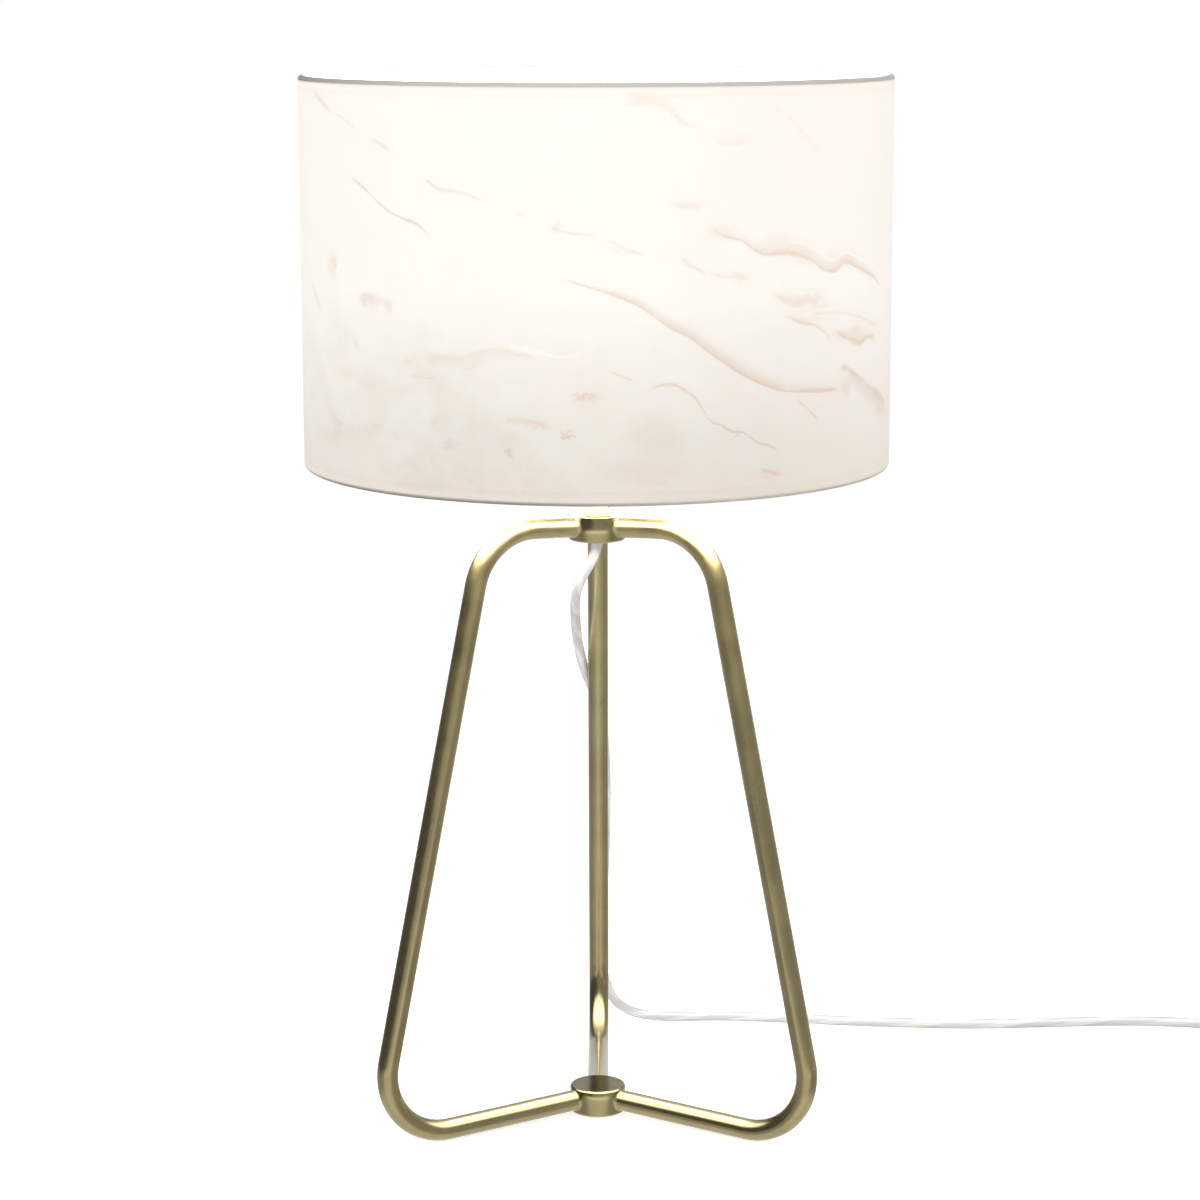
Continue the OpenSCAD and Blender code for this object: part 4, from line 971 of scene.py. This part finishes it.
class LampCord(bpy.types.Operator):
    """Lays the clear lead down the rear leg, through the switch, in its coil and to the plug"""

    bl_idname = "lamp.cord"
    bl_label = "Cord"

    def execute(self, context):
        s = context.scene.lamp_cord
        route = cord_route()
        curve = bpy.data.curves.new("clear_lead", "CURVE")
        curve.dimensions = "3D"
        curve.resolution_u = 5
        curve.render_resolution_u = 0
        curve.bevel_depth = s.diameter / 2
        curve.bevel_resolution = 4
        curve.use_fill_caps = True
        spline = curve.splines.new("BEZIER")
        spline.bezier_points.add(len(route) - 1)
        for i, (point, place) in enumerate(zip(spline.bezier_points, route)):
            before, after = route[max(i - 1, 0)], route[min(i + 1, len(route) - 1)]
            point.co = place
            point.handle_left_type = point.handle_right_type = "FREE"
            step = (after - before) / 6
            if i in (0, len(route) - 1):
                step *= 2
            point.handle_left, point.handle_right = place - step, place + step
        lead = as_object("clear_lead", curve)
        curve.materials.append(clear_sheath(s.strand_colour))
        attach(lead, "stand")
        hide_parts("cord_lead", "cord_coil_lead", "cord_coil", "cord_plug_lead")
        return {"FINISHED"}


# The CAD nodes that keep their own shape

METALS = {
    "zinc_steel": ((0.62, 0.62, 0.60), 0.32),
    "bright_brass": ((0.78, 0.60, 0.30), 0.25),
    "nickel_pins": ((0.70, 0.68, 0.63), 0.16),
}
MOULDED = {
    # slot: colour, roughness, coat, share of the colour in its darker marks
    "holder_plastic": ((0.86, 0.85, 0.81), 0.42),
    "porcelain": ((0.88, 0.86, 0.82), 0.5, 0.0, 0.93),
    "core_insulation": ((0.30, 0.14, 0.06), 0.45),
    "black_glass": ((0.02, 0.02, 0.022), 0.12, 0.5),
    "bulb_plastic": ((0.86, 0.86, 0.84), 0.38),
    "bulb_board": ((0.85, 0.85, 0.85), 0.5),
    "dark_plastic": ((0.025, 0.025, 0.028), 0.45, 0.0, 0.8),
    "switch_plastic": ((0.82, 0.82, 0.80), 0.28, 0.2),
}


class LampFinishes(bpy.types.Operator):
    """Gives every carried-over solid its finish"""

    bl_idname = "lamp.finishes"
    bl_label = "Finishes"

    def execute(self, context):
        finishes = {
            "satin_brass": satin_brass(context.scene.lamp_stand.brass_colour, "fitting_brass"),
            "white_liner": white_liner(),
            "clear_pvc": moulded("clear_bushing", (0.84, 0.83, 0.86), 0.25, 1.0),
        }
        for make, table in ((plain_metal, METALS), (moulded, MOULDED)):
            for slot, values in table.items():
                finishes[slot] = make(slot, *values)
        for part in frame["record"]["subparts"]:
            if part["node"] in NODES and part["material_slot"] in finishes:
                for holder in NODES[part["node"]].material_slots:
                    holder.link = "OBJECT"
                    holder.material = finishes[part["material_slot"]]
        return {"FINISHED"}


# Camera, floor and lights


def room_light(w, s):
    """White for the camera and an even level as light. Metal mirrors a studio with a bright
    ceiling, a white table and backdrop, and a dim room over the table, dark on the left."""
    path = w.add("ShaderNodeLightPath").outputs
    x, y, z = w.split(w.add("ShaderNodeTexCoord").outputs["Generated"])
    room = w.span(x, -0.1, -0.5, s.mirror_level, s.mirror_level * s.dark_side)
    far_table = w.span(z, -0.25, -0.185, s.mirror_front, s.mirror_front * 2.6)
    table = w.plus(w.span(y, -0.5, -0.92, s.mirror_level, far_table),
                   w.span(z, -0.45, -0.7, 0.0, s.mirror_level))
    backdrop = w.times(w.span(y, 0.6, 0.9, 0.0, s.mirror_back),
                       w.times(w.span(z, 0.26, 0.16), w.span(z, -0.5, -0.3)))
    ceiling = w.times(w.span(z, 0.45, 0.65, 0.0, s.mirror_ceiling),
                      w.span(y, 0.6, 0.1, 0.2, 1.0))
    mirror = w.plus(w.span(z, -0.165, -0.2, room, table), w.plus(backdrop, ceiling))
    seen = w.larger(path["Is Camera Ray"], path["Is Transmission Ray"])
    level = w.span(path["Is Glossy Ray"], 0, 1, s.world_level, mirror, smooth=False)
    w.wire(w.nodes["Background"], Color=(1, 1, 1),
           Strength=w.span(seen, 0, 1, level, 1.0, smooth=False))


def soft_lamp(name, place, power, colour=(1, 1, 1)):
    """Square lamp that lights the pieces. Metal mirrors the world's light in its place."""
    aim = Vector((0, 0, 0.32))
    light = bpy.data.lights.new(name, "AREA")
    light.shape = "SQUARE"
    light.size = 1.0
    light.energy = power
    light.color = colour
    lamp = as_object(name, light)
    lamp.location = place
    lamp.visible_glossy = False
    lamp.rotation_euler = (aim - Vector(place)).to_track_quat("-Z", "Y").to_euler()


class LampStage(bpy.types.Operator):
    """Sets the camera, the plain floor and the soft studio light"""

    bl_idname = "lamp.stage"
    bl_label = "Stage"

    def execute(self, context):
        s = context.scene.lamp_stage
        scene = context.scene
        camera = as_object("camera", bpy.data.cameras.new("camera"))
        camera.data.lens = 99.03
        camera.data.sensor_width = 36
        camera.data.clip_start = 0.05
        camera.data.clip_end = 500
        place = Vector((math.sin(s.camera_turn), -math.cos(s.camera_turn), 0)) * s.camera_distance
        place.z = s.camera_height
        heading = s.camera_turn - CAMERA_AIM_OFF
        camera.matrix_world = (Matrix.Translation(place) @ Matrix.Rotation(heading, 4, "Z")
                               @ Matrix.Rotation(math.pi / 2 - s.camera_pitch, 4, "X")
                               @ Matrix.Rotation(CAMERA_ROLL, 4, "Z"))
        scene.camera = camera

        bm = bmesh.new()
        bmesh.ops.create_circle(bm, cap_ends=True, radius=6, segments=96)
        floor = as_object("floor", as_mesh("floor", bm))
        floor.visible_glossy = False
        f = Finish("floor")
        floor.data.materials.append(f.material)
        path = f.add("ShaderNodeLightPath").outputs
        seen = f.larger(path["Is Camera Ray"], path["Is Transmission Ray"])
        f.set(Base_Color=s.floor_colour, Roughness=1.0, Emission_Color=(1, 1, 1),
              Emission_Strength=f.times(seen, s.floor_lift), Specular_IOR_Level=0)

        world = bpy.data.worlds.new("studio")
        scene.world = world
        world.use_nodes = True
        room_light(Tree(world.node_tree), s)

        soft_lamp("key", (0.75, -1.7, 1.3), s.key_power, (1.0, 0.985, 0.96))
        soft_lamp("fill", (-1.45, -1.15, 0.95), s.fill_power, (0.96, 0.98, 1.0))
        soft_lamp("rear", (0.3, 1.5, 1.3), REAR_POWER)
        scene.view_settings.view_transform = "Standard"
        return {"FINISHED"}


class LampPanel(bpy.types.Panel):
    """Lists the settings and the steps of the table lamp"""

    bl_idname = "VIEW3D_PT_table_lamp"
    bl_label = "Table lamp"
    bl_space_type = "VIEW_3D"
    bl_region_type = "UI"
    bl_category = "Table lamp"

    def draw(self, context):
        layout = self.layout
        for name in GROUPS:
            group = getattr(context.scene, name)
            box = layout.box()
            box.label(text=name.replace("_", " ").capitalize())
            for key in group.__annotations__:
                box.prop(group, key)
        for step in STEPS:
            layout.operator(step.bl_idname)


STEPS = (LampStage, LampCord, LampLegs, LampHubs, LampShade, LampBulb, LampFinishes)
GROUPS = {
    "lamp_stand": LampStandSettings,
    "lamp_shade": LampShadeSettings,
    "lamp_cord": LampCordSettings,
    "lamp_stage": LampStageSettings,
}


def register():
    for cls in (*GROUPS.values(), *STEPS, LampPanel):
        bpy.utils.register_class(cls)
    for name, group in GROUPS.items():
        setattr(bpy.types.Scene, name, bpy.props.PointerProperty(type=group))


def unregister():
    for name in GROUPS:
        delattr(bpy.types.Scene, name)
    for cls in reversed((*GROUPS.values(), *STEPS, LampPanel)):
        bpy.utils.unregister_class(cls)


def main():
    register()
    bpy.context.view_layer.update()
    for step in STEPS:
        getattr(bpy.ops.lamp, step.bl_idname.split(".")[1])()
    bpy.context.view_layer.update()


if __name__ == "__main__":
    main()
